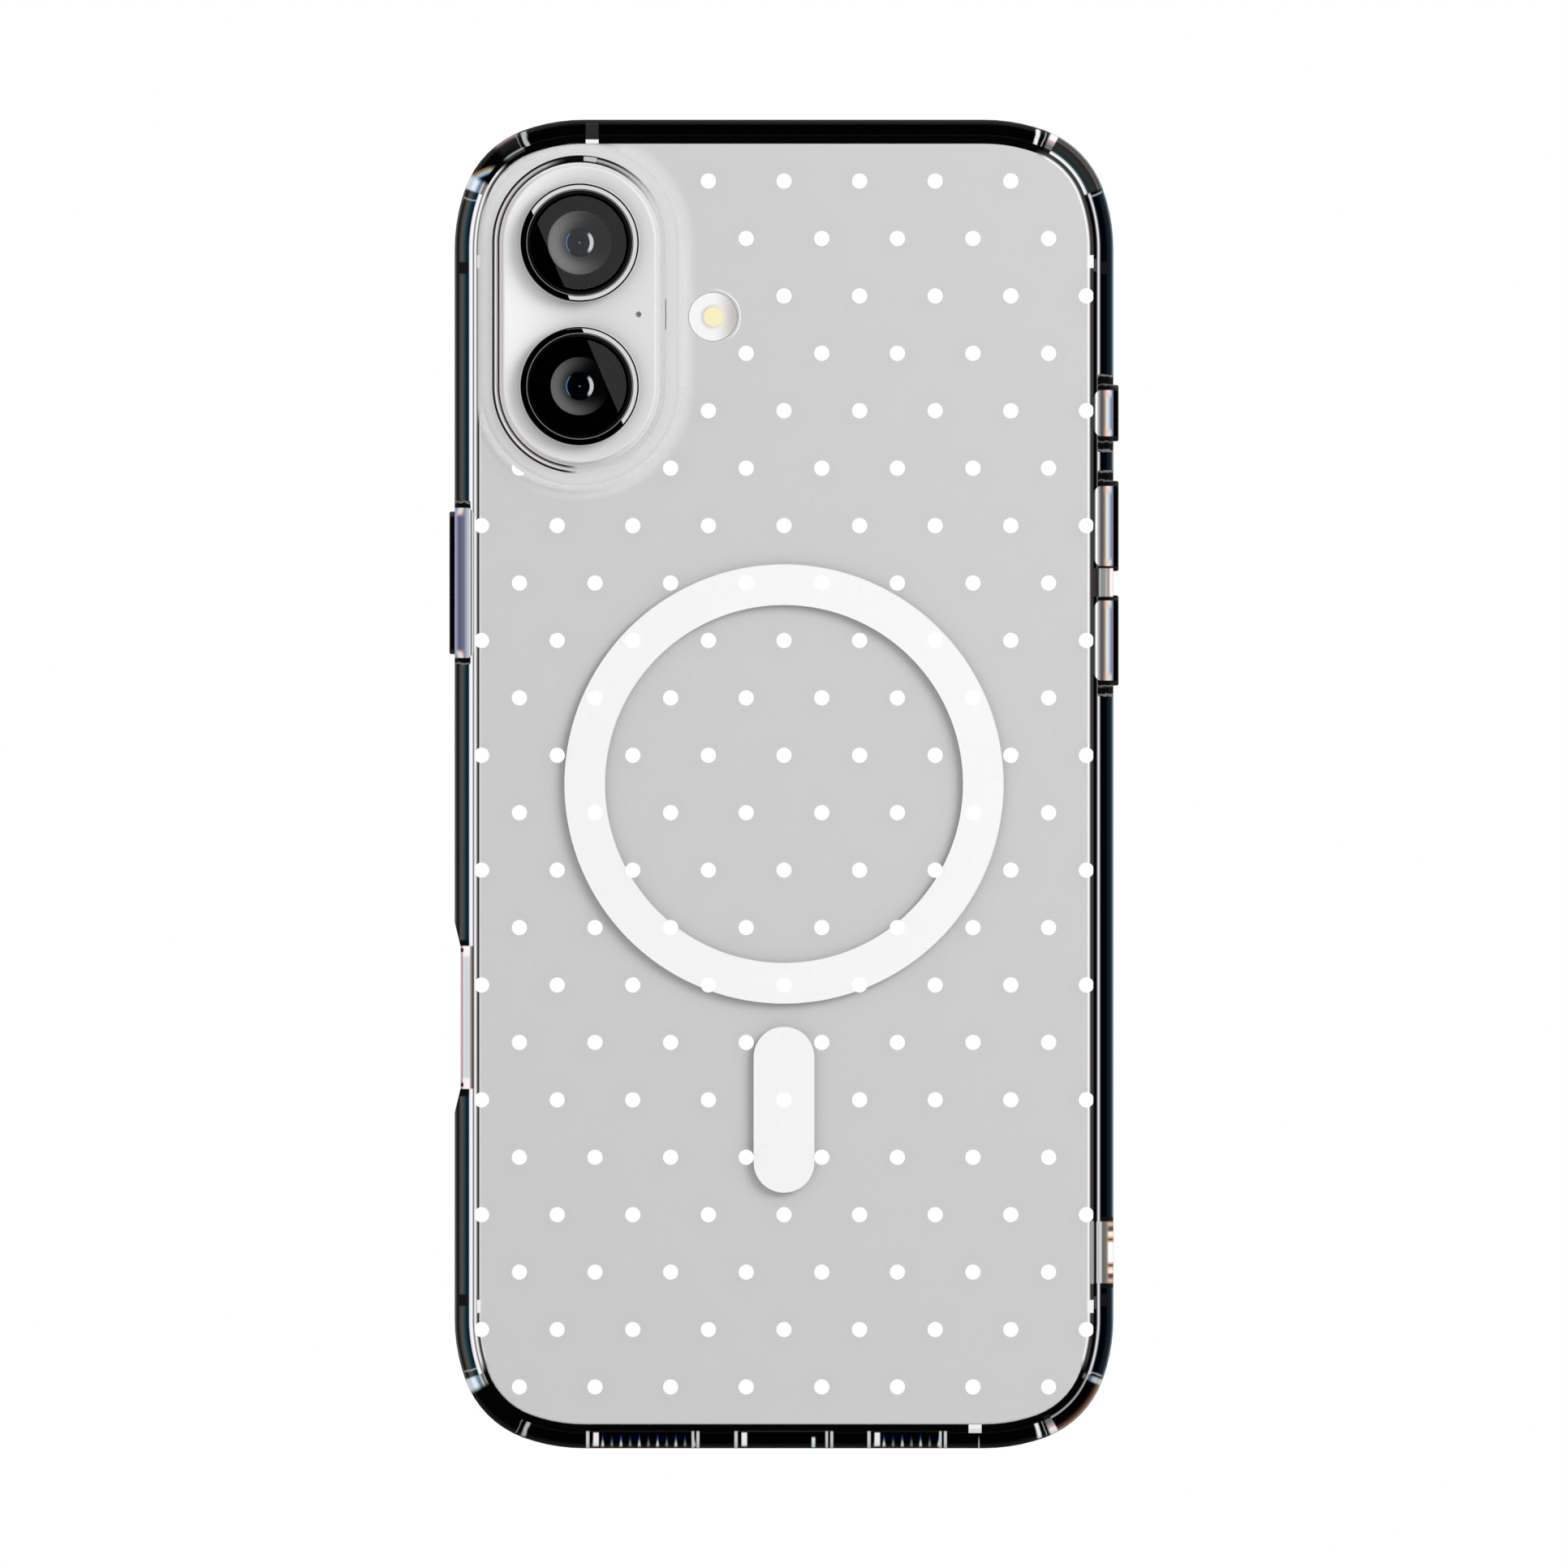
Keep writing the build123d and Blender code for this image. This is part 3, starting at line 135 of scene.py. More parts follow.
# ================= Shader nodes =================
class Tree:
    """Short calls for building the nodes of one material, or of the world."""

    def __init__(self, owner, output="ShaderNodeOutputMaterial", coordinates="Object"):
        self.owner = owner
        self.tree = owner.node_tree
        self.tree.nodes.clear()
        self.out = self.tree.nodes.new(output)
        self.place = self.tree.nodes.new("ShaderNodeTexCoord").outputs[coordinates]
        split = self.tree.nodes.new("ShaderNodeSeparateXYZ")
        self.link(self.place, split.inputs[0])
        self.x, self.y, self.z = split.outputs

    def link(self, a, b):
        self.tree.links.new(a, b)

    def put(self, socket, value):
        if isinstance(value, bpy.types.NodeSocket):
            self.link(value, socket)
        else:
            socket.default_value = value

    def math(self, kind, *values):
        node = self.tree.nodes.new("ShaderNodeMath")
        node.operation = kind
        for socket, value in zip(node.inputs, values):
            self.put(socket, value)
        return node.outputs[0]

    def add(self, a, b):
        return self.math("ADD", a, b)

    def sub(self, a, b):
        return self.math("SUBTRACT", a, b)

    def mul(self, a, b):
        return self.math("MULTIPLY", a, b)

    def both(self, *values):
        result = values[0]
        for value in values[1:]:
            result = self.mul(result, value)
        return result

    def either(self, *values):
        result = values[0]
        for value in values[1:]:
            result = self.math("MAXIMUM", result, value)
        return result

    def invert(self, a):
        return self.sub(1.0, a)

    def step(self, value, low, high):
        """0 below low and 1 above high, smooth between; falls when low is above high."""
        node = self.tree.nodes.new("ShaderNodeMapRange")
        node.interpolation_type = "SMOOTHSTEP"
        self.put(node.inputs["Value"], value)
        node.inputs["From Min"].default_value = min(low, high)
        node.inputs["From Max"].default_value = max(low, high)
        node.inputs["To Min"].default_value = 0.0 if low < high else 1.0
        node.inputs["To Max"].default_value = 1.0 if low < high else 0.0
        return node.outputs["Result"]

    def band(self, value, low, high, soft=0.05 * MM):
        """1 between low and high, 0 outside."""
        rise = self.step(value, low - soft, low + soft)
        fall = self.step(value, high + soft, high - soft)
        return self.mul(rise, fall)

    def on_right(self):
        """1 on the right half, as the back is looked at."""
        return self.step(self.x, -MM, MM)

    def on_top(self):
        """1 on the upper half."""
        return self.step(self.z, Z_MID - MM, Z_MID + MM)

    def on_wall(self, side):
        """1 on the side wall on the right (side 1) or on the left (side -1)."""
        return self.step(self.mul(self.x, side), WALL_X, WALL_X + MM)

    def from_middle(self):
        """How far above or below the middle of the height a point lies."""
        return self.math("ABSOLUTE", self.sub(self.z, Z_MID))

    def upright(self, low, high):
        """Rises to 1 on walls, whose faces don't look at the front or the back."""
        surface = self.tree.nodes.new("ShaderNodeNewGeometry")
        normal = self.tree.nodes.new("ShaderNodeSeparateXYZ")
        self.link(surface.outputs["Normal"], normal.inputs[0])
        return self.step(self.math("ABSOLUTE", normal.outputs["Y"]), low, high)

    def length(self, a, b):
        return self.math("SQRT", self.add(self.mul(a, a), self.mul(b, b)))

    def mix(self, factor, a, b):
        node = self.tree.nodes.new("ShaderNodeMix")
        node.data_type = "RGBA"
        self.put(node.inputs["Factor"], factor)
        self.put(node.inputs[6], colour(a))
        self.put(node.inputs[7], colour(b))
        return node.outputs[2]

    def ramp(self, value, stops):
        """Colours at stops (place in millimetres, colour), with places rising."""
        first, last = stops[0][0], stops[-1][0]
        reach = self.tree.nodes.new("ShaderNodeMapRange")
        self.put(reach.inputs["Value"], value)
        reach.inputs["From Min"].default_value = first * MM
        reach.inputs["From Max"].default_value = last * MM
        node = self.tree.nodes.new("ShaderNodeValToRGB")
        self.link(reach.outputs["Result"], node.inputs[0])
        elements = node.color_ramp.elements
        while len(elements) > 1:
            elements.remove(elements[-1])
        elements[0].position = 0.0
        elements[0].color = colour(stops[0][1])
        for place, shade in stops[1:]:
            element = elements.new((place - first) / (last - first))
            element.color = colour(shade)
        return node.outputs[0]

    def wave(self, value, pitch):
        return self.math("SINE", self.mul(value, 2 * pi / pitch))

    def noise(self, scale, detail=3.0):
        node = self.tree.nodes.new("ShaderNodeTexNoise")
        node.inputs["Scale"].default_value = scale
        node.inputs["Detail"].default_value = detail
        self.link(self.place, node.inputs["Vector"])
        return node.outputs["Fac"]

    def bump(self, height, strength, distance=0.05 * MM):
        node = self.tree.nodes.new("ShaderNodeBump")
        node.inputs["Strength"].default_value = strength
        node.inputs["Distance"].default_value = distance
        self.link(height, node.inputs["Height"])
        return node.outputs["Normal"]

    def principled(self, base, rough=0.3, metallic=0.0, normal=None, specular=0.5):
        node = self.tree.nodes.new("ShaderNodeBsdfPrincipled")
        self.put(node.inputs["Base Color"], colour(base))
        self.put(node.inputs["Roughness"], rough)
        node.inputs["Metallic"].default_value = metallic
        node.inputs["IOR"].default_value = 1.45
        node.inputs["Specular IOR Level"].default_value = specular
        if normal is not None:
            self.link(normal, node.inputs["Normal"])
        return node.outputs[0]

    def paint(self, base, rough=0.4):
        """A colour without any shine."""
        return self.principled(base, rough, specular=0.0)

    def transparent(self, tint):
        node = self.tree.nodes.new("ShaderNodeBsdfTransparent")
        self.put(node.inputs[0], colour(tint))
        return node.outputs[0]

    def mirror(self, rough=0.0):
        node = self.tree.nodes.new("ShaderNodeBsdfGlossy")
        node.inputs["Color"].default_value = (1, 1, 1, 1)
        node.inputs["Roughness"].default_value = rough
        return node.outputs[0]

    def glow(self, tint, strength=1.0):
        node = self.tree.nodes.new("ShaderNodeEmission")
        node.inputs["Color"].default_value = colour(tint)
        node.inputs["Strength"].default_value = strength
        return node.outputs[0]

    def background(self, strength):
        node = self.tree.nodes.new("ShaderNodeBackground")
        node.inputs["Color"].default_value = (1, 1, 1, 1)
        self.put(node.inputs["Strength"], strength)
        return node.outputs[0]

    def blend(self, factor, a, b):
        node = self.tree.nodes.new("ShaderNodeMixShader")
        self.put(node.inputs[0], factor)
        self.link(a, node.inputs[1])
        self.link(b, node.inputs[2])
        return node.outputs[0]

    def rays(self):
        return self.tree.nodes.new("ShaderNodeLightPath").outputs

    def casting_nothing(self, shader):
        """Clear pieces let the light through to what they cover."""
        rays = self.rays()
        through = self.either(rays["Is Shadow Ray"], rays["Is Diffuse Ray"])
        return self.blend(through, shader, self.transparent("#FFFFFF"))

    def gloss_share(self, ior=1.45):
        """Fresnel share on faces that look outwards, nothing on the inner side."""
        node = self.tree.nodes.new("ShaderNodeFresnel")
        node.inputs["IOR"].default_value = ior
        surface = self.tree.nodes.new("ShaderNodeNewGeometry")
        return self.mul(node.outputs[0], self.invert(surface.outputs["Backfacing"]))

    def finish(self, shader):
        self.link(shader, self.out.inputs["Surface"])
        return self.owner


def linear(value):
    return value / 12.92 if value <= 0.04045 else ((value + 0.055) / 1.055) ** 2.4


def colour(text):
    """Linear colour of a hex text; anything else stays as it is."""
    if not isinstance(text, str):
        return text
    parts = [int(text[i : i + 2], 16) / 255 for i in (1, 3, 5)]
    return (*[linear(part) for part in parts], 1.0)


def new_tree(name):
    material = bpy.data.materials.new(name)
    material.use_nodes = True
    return Tree(material)


def corner_arcs(half_w, half_h, grow):
    """Radii of a corner's outer and middle arcs, its span, and the middle arc's centre."""
    end_r, mid_r = CORNER_END_R + grow, CORNER_MID_R + grow
    span = end_r * (1 + sin(CORNER_EASE) - cos(CORNER_EASE))
    span += mid_r * (cos(CORNER_EASE) - sin(CORNER_EASE))
    mid_x = half_w - span + (end_r - mid_r) * sin(CORNER_EASE)
    mid_z = half_h - end_r + (end_r - mid_r) * cos(CORNER_EASE)
    return end_r, mid_r, span, mid_x, mid_z


def outline_inset(t, half_w, half_h, grow):
    """How far inside an outline a point lies: straight sides and three-arc corners."""
    end_r, mid_r, span, mid_x, mid_z = corner_arcs(half_w, half_h, grow)
    turn = tan(CORNER_EASE)
    px, pz = t.math("ABSOLUTE", t.x), t.from_middle()
    up = t.math("MAXIMUM", t.sub(pz, half_h - span), 0.0)
    out = t.math("MAXIMUM", t.sub(px, half_w - end_r), 0.0)
    side = t.sub(end_r, t.length(out, up))
    over = t.math("MAXIMUM", t.sub(px, half_w - span), 0.0)
    rise = t.math("MAXIMUM", t.sub(pz, half_h - end_r), 0.0)
    top = t.sub(end_r, t.length(over, rise))
    dx, dz = t.sub(px, mid_x), t.sub(pz, mid_z)
    corner = t.sub(mid_r, t.length(dx, dz))
    at_side = t.math("LESS_THAN", dz, t.mul(dx, turn))
    at_top = t.math("LESS_THAN", dx, t.mul(dz, turn))
    found = t.add(corner, t.mul(at_side, t.sub(side, corner)))
    return t.add(found, t.mul(at_top, t.sub(top, found)))


def corner_turn(t, half_w, half_h, grow):
    """Angle around the middle of the nearest corner, from the side towards the top or bottom."""
    mid_x, mid_z = corner_arcs(half_w, half_h, grow)[3:]
    across = t.sub(t.math("ABSOLUTE", t.x), mid_x)
    return t.math("ARCTAN2", t.sub(t.from_middle(), mid_z), across)


def guard_distance(t):
    """Distance from the middle line of the guard's pill, and the part of it across."""
    across = t.sub(t.x, GUARD_X)
    along = t.math("ABSOLUTE", t.sub(t.z, GUARD_Z))
    beyond = t.math("MAXIMUM", t.sub(along, GUARD_STRAIGHT), 0.0)
    return t.length(across, beyond), across


# ================= Materials =================
def plate_edge(t, inset):
    """Painted light and shade caught in the plate along the edge of the back glass: its colour and
    share.
    """
    from_glass = t.mul(inset, -1.0)
    # painted highlight and shade lines across the edge: on the left, on the right and beside the guard
    left = t.ramp(
        from_glass,
        [
            (-0.32, "#D4D4D4"),
            (-0.2, "#E2E2E2"),
            (-0.1, "#808080"),
            (0.0, "#0E0E0E"),
            (0.1, "#383838"),
            (0.2, "#989898"),
            (0.3, "#CFCFCF"),
            (0.4, "#FAF8FA"),
            (0.5, "#DCD9DC"),
        ],
    )
    right = t.ramp(
        from_glass,
        [
            (-0.32, "#C0C0C0"),
            (-0.2, "#ECECEC"),
            (-0.1, "#F8F8F8"),
            (0.0, "#B5B5B5"),
            (0.1, "#707070"),
            (0.2, "#282828"),
            (0.3, "#3C3C3C"),
            (0.4, "#3A3A3A"),
            (0.5, "#242424"),
        ],
    )
    beside_guard = t.ramp(
        from_glass,
        [
            (-0.32, "#C6C6C6"),
            (-0.1, "#BEBEBE"),
            (0.0, "#BEBEBE"),
            (0.1, "#8A8A8A"),
            (0.2, "#6A6A6A"),
            (0.3, "#E4E4E4"),
            (0.4, "#FCFCFC"),
            (0.5, "#DBDBDB"),
        ],
    )
    by_guard = t.band(t.z, GUARD_Z - 12.5 * MM, GUARD_Z + 14 * MM, 1.5 * MM)
    left = t.mix(by_guard, left, beside_guard)
    strap = t.band(t.z, LANYARD_Z - LANYARD_REACH, LANYARD_Z + LANYARD_REACH, 0.1 * MM)
    right = t.mix(t.mul(strap, t.step(from_glass, 0.05 * MM, 0.12 * MM)), right, "#9C9C9C")
    on_right, on_top, up = t.on_right(), t.on_top(), t.from_middle()
    # the painted lines fade into painted dark shade at the corners, further round at the top right
    turn = corner_turn(t, *GLASS_OUTLINE)
    reach = t.math("MULTIPLY_ADD", on_right, radians(22), radians(30))
    reach = t.add(radians(20), t.mul(on_top, reach))
    along = t.step(t.sub(turn, reach), 0.0, -radians(12))
    shade = t.mix(along, "#050505", t.mix(on_right, left, right))
    # the antenna bands, which stay bright
    end = (PLATE_HIGH.z - PLATE_LOW.z) / 2 - 3 * MM
    at_end = t.step(up, end, end + MM)
    side_band = t.both(
        t.band(up, *BAND, 0.04 * MM),
        t.either(on_right, t.step(from_glass, 0.2 * MM, 0.16 * MM)),
        t.invert(at_end),
    )
    top_band = t.mul(t.band(t.x, *TOP_BAND, 0.04 * MM), on_top)
    bottom_band = t.mul(t.band(t.x, *BOTTOM_BAND, 0.04 * MM), t.invert(on_top))
    bands = t.either(side_band, t.mul(t.either(top_band, bottom_band), at_end))
    mark = t.mix(t.both(on_top, t.invert(on_right), t.invert(at_end)), "#EDEEEE", "#D6D6D6")
    beyond = t.step(from_glass, -0.04 * MM, 0.02 * MM)
    share = t.either(t.mul(along, t.step(from_glass, -0.32 * MM, -0.26 * MM)), beyond)
    face = t.step(t.y, PLATE_LOW.y + 0.3 * MM, PLATE_LOW.y + 0.2 * MM)
    return t.mix(bands, shade, mark), t.mul(share, face)


def make_clear_plate():
    t = new_tree("clear_plate")
    tint = t.mix(t.upright(0.8, 0.4), "#FDFDFD", "#E2E4E5")
    inset = outline_inset(t, *GLASS_OUTLINE)
    # a painted pale halo of light around the camera guard, and a painted rim of light and shade around
    # the flash hole
    halo = t.both(t.step(guard_distance(t)[0], *GUARD_HALO), t.step(inset, 0.0, 0.6 * MM), 0.16)
    flash_x, flash_z = middle("flash_lens")
    from_x, from_z = t.sub(t.x, flash_x), t.sub(t.z, flash_z)
    around = t.length(from_x, from_z)
    lean = t.math("DIVIDE", t.add(from_x, t.mul(from_z, 0.35)), around)
    painted_shade_rim = t.mul(t.band(around, *FLASH_HOLE_DARK, 0.03 * MM), t.step(lean, 0.3, 0.8))
    painted_light_rim = t.mul(t.band(around, *FLASH_HOLE_LIGHT, 0.05 * MM), t.step(lean, 0.2, 0.8))
    dust = t.mul(t.step(t.noise(900), 0.62, 0.7), 0.015)
    body = t.blend(t.gloss_share(1.4), t.transparent(tint), t.mirror(0.03))
    body = t.blend(t.either(dust, halo, t.mul(painted_light_rim, 0.7)), body, t.paint("#FFFFFF"))
    body = t.blend(t.mul(painted_shade_rim, 0.5), body, t.paint("#3A3C3E"))
    edge, share = plate_edge(t, inset)
    return t.finish(t.casting_nothing(t.blend(share, body, t.paint(edge))))


def wall_colour(t, inset):
    """The painted reflections, highlights and shade that the clear rim shows along the side walls."""
    left = t.ramp(
        inset,
        [
            (0.05, "#63666A"),
            (0.32, "#131218"),
            (0.45, "#180F0C"),
            (0.76, "#554B3F"),
            (1.0, "#414F52"),
            (1.35, "#18303D"),
            (1.74, "#09121D"),
            (1.86, "#E4E7F1"),
            (2.05, "#F5F4F9"),
            (2.15, "#FFFFFF"),
            (2.25, "#A4A1A8"),
            (2.35, "#6C6A6E"),
            (2.45, "#C8C6C9"),
        ],
    )
    right = t.ramp(
        inset,
        [
            (0.05, "#738393"),
            (0.2, "#27333F"),
            (0.4, "#0A131A"),
            (0.62, "#101B23"),
            (0.95, "#01050A"),
            (1.5, "#020206"),
            (1.6, "#1A242E"),
            (1.7, "#8C98A8"),
            (1.78, "#D6DBE4"),
            (1.88, "#E6E0E0"),
            (1.97, "#948E88"),
            (2.06, "#2A2620"),
            (2.15, "#020202"),
            (2.45, "#0C0C0C"),
        ],
    )
    return t.mix(t.on_right(), left, right)


def edge_colour(t, inset):
    """The top and bottom walls, painted dark shade with one faint painted highlight line."""
    return t.ramp(
        inset,
        [
            (0.02, "#1A1A1C"),
            (0.16, "#020202"),
            (1.84, "#020202"),
            (1.94, "#121212"),
            (2.06, "#030303"),
            (2.7, "#050505"),
            (2.9, "#0C0C0C"),
        ],
    )


def corner_colour(t, inset, turn):
    """The air pockets in the corners: painted dark shade, with a painted outer streak of light, a
    painted inner highlight line and painted bright ends.
    """
    top_right = t.ramp(
        inset,
        [
            (0.08, "#7C7E80"),
            (0.25, "#2A3236"),
            (0.5, "#564E49"),
            (0.75, "#242320"),
            (1.3, "#2A3130"),
            (1.6, "#1A292B"),
            (1.92, "#2D363A"),
            (2.08, "#C9CFD3"),
            (2.3, "#FAFDFF"),
            (2.44, "#5A5C60"),
        ],
    )
    bottom_right = t.ramp(
        inset,
        [
            (0.08, "#9A8E84"),
            (0.3, "#6E4C3A"),
            (0.5, "#4A2E2A"),
            (0.72, "#150B0A"),
            (1.0, "#040303"),
            (1.8, "#020202"),
            (1.92, "#B4B4B4"),
            (2.04, "#7A7A7A"),
            (2.16, "#040404"),
        ],
    )
    top_left = t.ramp(
        inset,
        [
            (0.08, "#9C9C9C"),
            (0.3, "#705A60"),
            (0.5, "#2F2022"),
            (1.0, "#1E1C1E"),
            (1.5, "#0E1318"),
            (1.85, "#0A0C0E"),
            (2.05, "#A4A6A6"),
            (2.25, "#0B0D0B"),
            (2.44, "#484A48"),
        ],
    )
    dark = colour("#030303")
    on_right, on_top = t.on_right(), t.on_top()
    top_left = t.mix(t.step(turn, radians(48), radians(54)), dark, top_left)
    on_left = t.mix(on_top, dark, top_left)
    shade = t.mix(on_right, on_left, t.mix(on_top, bottom_right, top_right))
    cool = t.ramp(
        inset,
        [
            (0.1, "#E6E8EE"),
            (0.5, "#D6DCE8"),
            (0.9, "#E9F6FF"),
            (1.2, "#C2D8F2"),
            (1.5, "#64768E"),
            (1.75, "#848F98"),
            (1.9, "#D2D5D5"),
            (2.08, "#50544F"),
            (2.3, "#8A8C88"),
        ],
    )
    warm = t.ramp(
        inset,
        [
            (0.1, "#D4DAE0"),
            (0.4, "#ECEAE8"),
            (0.7, "#F6E4E2"),
            (0.95, "#C8A4A8"),
            (1.2, "#A29290"),
            (1.6, "#6A6864"),
            (1.85, "#74746F"),
            (2.05, "#1B1B1A"),
        ],
    )
    # a painted streak of split light that runs on from the painted bright end
    slide = t.sub(inset, t.mul(t.sub(turn, radians(29)), 7 * MM))
    spread = t.ramp(
        slide,
        [
            (-0.1, "#2A2226"),
            (0.1, "#6E5A44"),
            (0.35, "#A08A70"),
            (0.6, "#A8B8A8"),
            (0.85, "#88A8C8"),
            (1.1, "#1E3A6A"),
            (1.3, "#0A0C10"),
        ],
    )
    streak = t.both(
        t.invert(on_right),
        on_top,
        t.step(turn, radians(44), radians(37)),
        t.band(slide, -0.05 * MM, 1.25 * MM, 0.08 * MM),
        t.step(inset, 1.9 * MM, 1.75 * MM),
    )
    shade = t.mix(streak, shade, spread)
    # painted highlights at the bright ends of the pockets
    low_end = t.mul(t.step(turn, radians(30), radians(26)), t.invert(on_right))
    high_end = t.mul(t.step(turn, radians(60.5), radians(61.5)), on_right)
    lower_end = t.both(
        t.band(turn, radians(19), radians(23.5), radians(1)), on_right, t.invert(on_top), 0.55
    )
    return t.mix(high_end, t.mix(t.either(low_end, lower_end), shade, cool), warm)


def window_colour(t, inset):
    """The clear walls beside the buttons: painted highlights and shade over the colours seen through
    them.
    """
    left = t.ramp(
        inset,
        [
            (0.02, "#BDBBD2"),
            (0.3, "#9794BE"),
            (0.55, "#57587A"),
            (0.8, "#666A79"),
            (1.1, "#666785"),
            (1.38, "#969AB4"),
            (1.6, "#AEC0C8"),
            (1.8, "#B6C2C3"),
            (1.89, "#F0F2F4"),
            (2.0, "#7C7A7A"),
            (2.09, "#4C4A4A"),
            (2.2, "#EDEBEB"),
            (2.35, "#929391"),
            (2.45, "#C8C8C6"),
        ],
    )
    right = t.ramp(
        inset,
        [
            (0.02, "#8A8A96"),
            (0.2, "#65667C"),
            (0.48, "#A2AECB"),
            (0.68, "#C4D6D6"),
            (0.85, "#E2D5C5"),
            (1.0, "#B09C8C"),
            (1.15, "#7A6A66"),
            (1.4, "#504C4E"),
            (1.55, "#5E5E60"),
            (1.68, "#7E7E80"),
            (1.85, "#B2B1B3"),
            (1.97, "#D0D0D1"),
            (2.05, "#FFFFFF"),
            (2.15, "#F4F4F4"),
            (2.26, "#787878"),
            (2.36, "#333333"),
            (2.45, "#4C4C4C"),
        ],
    )
    return t.mix(t.on_right(), left, right)


def gap_colour(t, inset):
    """The clear wall between the two volume windows: painted highlights and shade over the colours seen
    through it.
    """
    return t.ramp(
        inset,
        [
            (0.1, "#EEE4E4"),
            (0.35, "#F6E0DF"),
            (0.45, "#D1BBBB"),
            (0.55, "#95898D"),
            (0.68, "#80908F"),
            (0.85, "#BAB2AB"),
            (1.05, "#928A86"),
            (1.3, "#828E8C"),
            (1.5, "#74888B"),
            (1.65, "#BFBAB4"),
            (1.75, "#867E79"),
            (1.86, "#3C3839"),
            (2.05, "#242527"),
            (2.35, "#363636"),
        ],
    )


def between(node, grow=0.0):
    """Lowest and highest z of a node, a little more on both sides."""
    low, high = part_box(node)
    return low.z - grow, high.z + grow


def end_distance(t, low, high):
    """How far inside the nearer of two heights a point lies."""
    return t.sub((high - low) / 2, t.math("ABSOLUTE", t.sub(t.z, (low + high) / 2)))


def control_zone(t, inset, shade):
    """The dished wall beside the camera control, clear, with painted warm light and painted dark shade
    at its ends.
    """
    low, high = between("camera_control_key", CONTROL_GROW)
    on_left = t.on_wall(-1)
    # painted dark shade at both ends of the dished wall
    ends = t.both(t.band(t.z, low - 0.95 * MM, high + 0.75 * MM, 0.1 * MM), on_left)
    shade = t.mix(t.mul(ends, t.step(inset, 1.85 * MM, 1.7 * MM)), shade, "#0C1011")
    body = t.ramp(
        inset,
        [
            (0.62, "#F6EEEA"),
            (0.8, "#D9BDB9"),
            (0.9, "#A27D84"),
            (1.0, "#CBB0BC"),
            (1.12, "#DAD9E4"),
            (1.35, "#CAD6DF"),
            (1.6, "#D0D4D3"),
            (1.85, "#DEDAD4"),
            (1.95, "#A7A3A1"),
            (2.05, "#7E7A78"),
            (2.15, "#848082"),
            (2.25, "#100E10"),
            (2.35, "#5C5C5E"),
            (2.45, "#C8C8CA"),
        ],
    )
    inside = t.both(t.band(t.z, low, high, 0.08 * MM), on_left)
    shade = t.mix(inside, shade, body)
    from_end = end_distance(t, low, high)
    # painted pale light away from the ends
    pale = t.both(
        inside,
        t.step(from_end, 1.6 * MM, 1.0 * MM),
        t.step(inset, 0.95 * MM, 1.1 * MM),
        t.step(inset, 1.95 * MM, 1.85 * MM),
    )
    shade = t.mix(pale, shade, "#FAF2EE")
    # painted dark blue shade near each end
    blue = t.mul(t.band(from_end, 0.25 * MM, 0.75 * MM, 0.1 * MM), inside)
    return t.mix(t.mul(blue, t.band(inset, 0.75 * MM, 1.1 * MM, 0.08 * MM)), shade, "#0E1E44")


def strap_zone(t, inset, shade):
    """The clear wall around the two strap slots, with painted bars of light and shade and a painted
    dark rim.
    """
    on_right = t.on_wall(1)
    from_slots = t.math("ABSOLUTE", t.sub(t.z, LANYARD_Z))
    body = t.ramp(
        inset,
        [
            (0.0, "#A8A4A0"),
            (0.3, "#B4B0AA"),
            (0.55, "#A8A298"),
            (0.8, "#857B70"),
            (1.05, "#6E6B64"),
            (1.35, "#64646A"),
            (1.46, "#B0B1B6"),
            (1.6, "#D6D7DA"),
            (1.86, "#B0B0B0"),
            (1.99, "#DEDEDE"),
            (2.09, "#686868"),
            (2.18, "#040404"),
            (2.32, "#101010"),
            (2.42, "#5E5E5E"),
        ],
    )
    inside = t.mul(t.step(from_slots, LANYARD_REACH, LANYARD_REACH - 0.15 * MM), on_right)
    shade = t.mix(inside, shade, body)
    # painted bars of light and shade on the outer part of the clear wall
    outer = t.mul(inside, t.step(inset, 0.85 * MM, 0.45 * MM))
    bars = t.ramp(
        from_slots,
        [
            (1.1, "#F8F8F6"),
            (1.35, "#D8A58C"),
            (1.6, "#2A0E0A"),
            (2.0, "#F4C8A6"),
            (2.4, "#FBF0E4"),
            (2.75, "#4A3A38"),
            (3.1, "#6A4A46"),
            (3.5, "#D2B8A0"),
            (3.9, "#7A5050"),
        ],
    )
    shade = t.mix(outer, shade, bars)
    # painted dark shade just beyond the clear wall
    rim = t.mul(on_right, t.band(from_slots, LANYARD_REACH, LANYARD_REACH + 0.5 * MM, 0.1 * MM))
    return t.mix(t.mul(rim, t.step(inset, 1.6 * MM, 1.4 * MM)), shade, "#17110F")


def sound_rays(t, inset, low):
    """Streaks of light that narrow with depth, every second one brighter, and their colours."""
    across = t.sub(t.x, low)
    phase = t.math("FRACT", t.math("DIVIDE", across, RAY_PITCH))
    away = t.mul(t.math("ABSOLUTE", t.sub(phase, 0.5)), RAY_PITCH)
    wide = t.math("MULTIPLY_ADD", inset, -0.12, 0.3 * MM)
    ray = t.step(t.sub(away, wide), 0.0, -0.2 * MM)
    every = t.math("FRACT", t.math("DIVIDE", across, 2 * RAY_PITCH))
    dim = t.math("MULTIPLY_ADD", t.math("GREATER_THAN", every, 0.5), 0.65, 0.3)
    streak = t.ramp(
        inset,
        [
            (0.12, "#8A4A20"),
            (0.3, "#E0B890"),
            (0.5, "#E4EEE2"),
            (0.8, "#8CC4D6"),
            (1.15, "#2E6CC8"),
            (1.7, "#122060"),
        ],
    )
    return t.mul(ray, dim), streak


